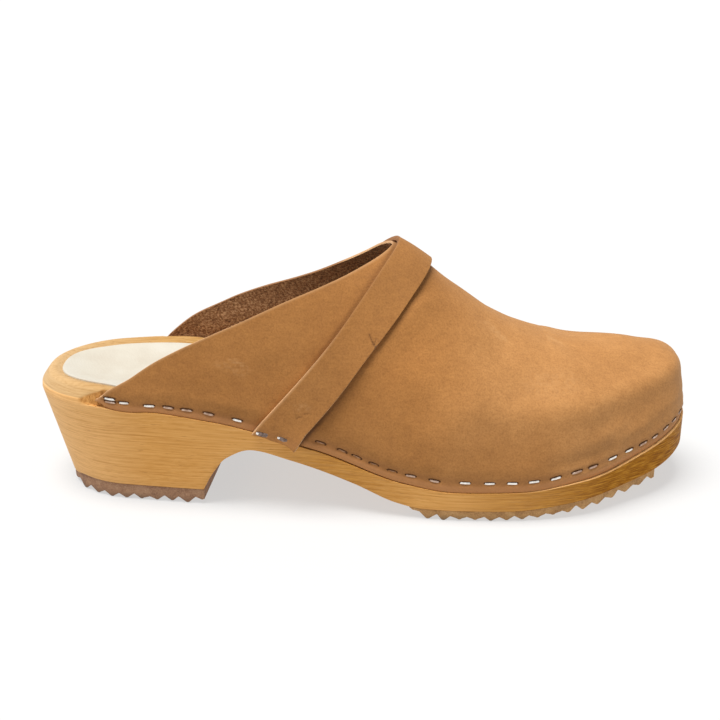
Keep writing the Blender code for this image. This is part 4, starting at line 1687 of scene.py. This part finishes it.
def make_lights():
    """A far light as wide as a large softbox, and an even white world."""
    lamp = bpy.data.lights.new("key_overhead", "SUN")
    lamp.angle = KEY_WIDTH
    lamp.energy = KEY_STRENGTH
    lamp.color = KEY_COLOUR
    key = bpy.data.objects.new("key_overhead", lamp)
    key.rotation_mode = "QUATERNION"
    key.rotation_quaternion = (-towards(KEY_AZIMUTH, KEY_ELEVATION)).to_track_quat("-Z", "Y")
    link(key)
    world = bpy.data.worlds.new("studio_world")
    world.use_nodes = True
    background = world.node_tree.nodes["Background"]
    background.inputs["Color"].default_value = (*WHITE, 1.0)
    background.inputs["Strength"].default_value = WORLD_STRENGTH
    bpy.context.scene.world = world


# Camera of the photograph, aimed at a point of the shoe
CAMERA_AZIMUTH = radians(-0.7)
CAMERA_ELEVATION = radians(21.0)
CAMERA_ROLL = radians(0.86)
CAMERA_DISTANCE = 538.0
CAMERA_AIM = (127.7, 0.0, 49.5)
FOCAL_PIXELS = 1332.0
FRAME_PIXELS = 720.0
SENSOR = 36.0
CLIP_START = 0.01


def make_camera():
    """A camera where the photograph was taken from, with the same small roll."""
    a, r = CAMERA_AZIMUTH, CAMERA_ROLL
    back = towards(a, CAMERA_ELEVATION)
    level = Vector((cos(a), sin(a), 0.0))
    upright = back.cross(level)
    right = cos(r) * level + sin(r) * upright
    up = cos(r) * upright - sin(r) * level
    lens = bpy.data.cameras.new("photo_camera")
    lens.sensor_width = SENSOR
    lens.lens = FOCAL_PIXELS / FRAME_PIXELS * SENSOR
    lens.clip_start = CLIP_START
    camera = bpy.data.objects.new("photo_camera", lens)
    place = (Vector(CAMERA_AIM) + Vector(ORIGIN) + CAMERA_DISTANCE * back) * MM
    turned = Matrix((right, up, back)).transposed().to_4x4()
    camera.matrix_world = Matrix.Translation(place) @ turned
    link(camera)
    bpy.context.scene.camera = camera


make_camera()
make_lights()
make_floor()
leathers = [nubuck(), suede(), cut_edge()]
heel_brown = tread_rubber("heel_rubber", (0.170, 0.082, 0.043), (0.310, 0.165, 0.090), (0.430, 0.265, 0.160))
sole_brown = tread_rubber("sole_rubber", (0.270, 0.130, 0.043), (0.450, 0.240, 0.085), (0.600, 0.370, 0.165))
make_wood_sole([alder(), painted_shade_breast()])
make_upper(leathers)
make_strap(leathers)
wires = [
    wire("bright_wire", (0.70, 0.66, 0.60), (0.95, 0.92, 0.88), 0.20),
    wire("dulled_wire", (0.36, 0.22, 0.15), (0.66, 0.50, 0.40), 0.30),
    wire("stained_wire", (0.26, 0.115, 0.045), (0.42, 0.220, 0.110), 0.55, 0.0),
    # the strap's staples, painted dark for the shade they lie in
    wire("shaded_wire", (0.12, 0.082, 0.068), (0.27, 0.20, 0.175), 0.18),
]
make_staples(wires + [painted_staple_shadow()])
heel_back = float(sole_base()[:, 0].min()) - BREAST_SLANT
make_rubber(
    "clog_heel_rubber", "heel_rubber", (heel_back, BREAST),
    HEEL_PIECE, BREAST_SLANT, HEEL_ENDS, heel_brown,
)
make_rubber(
    "clog_forefoot_rubber", "forefoot_rubber", (TREAD_FROM, TREAD_TO),
    FOREFOOT_RUBBER, 0.0, TREAD_ENDS, sole_brown,
)
make_heel_pad(pad_white())
bpy.context.scene.view_settings.view_transform = "Standard"
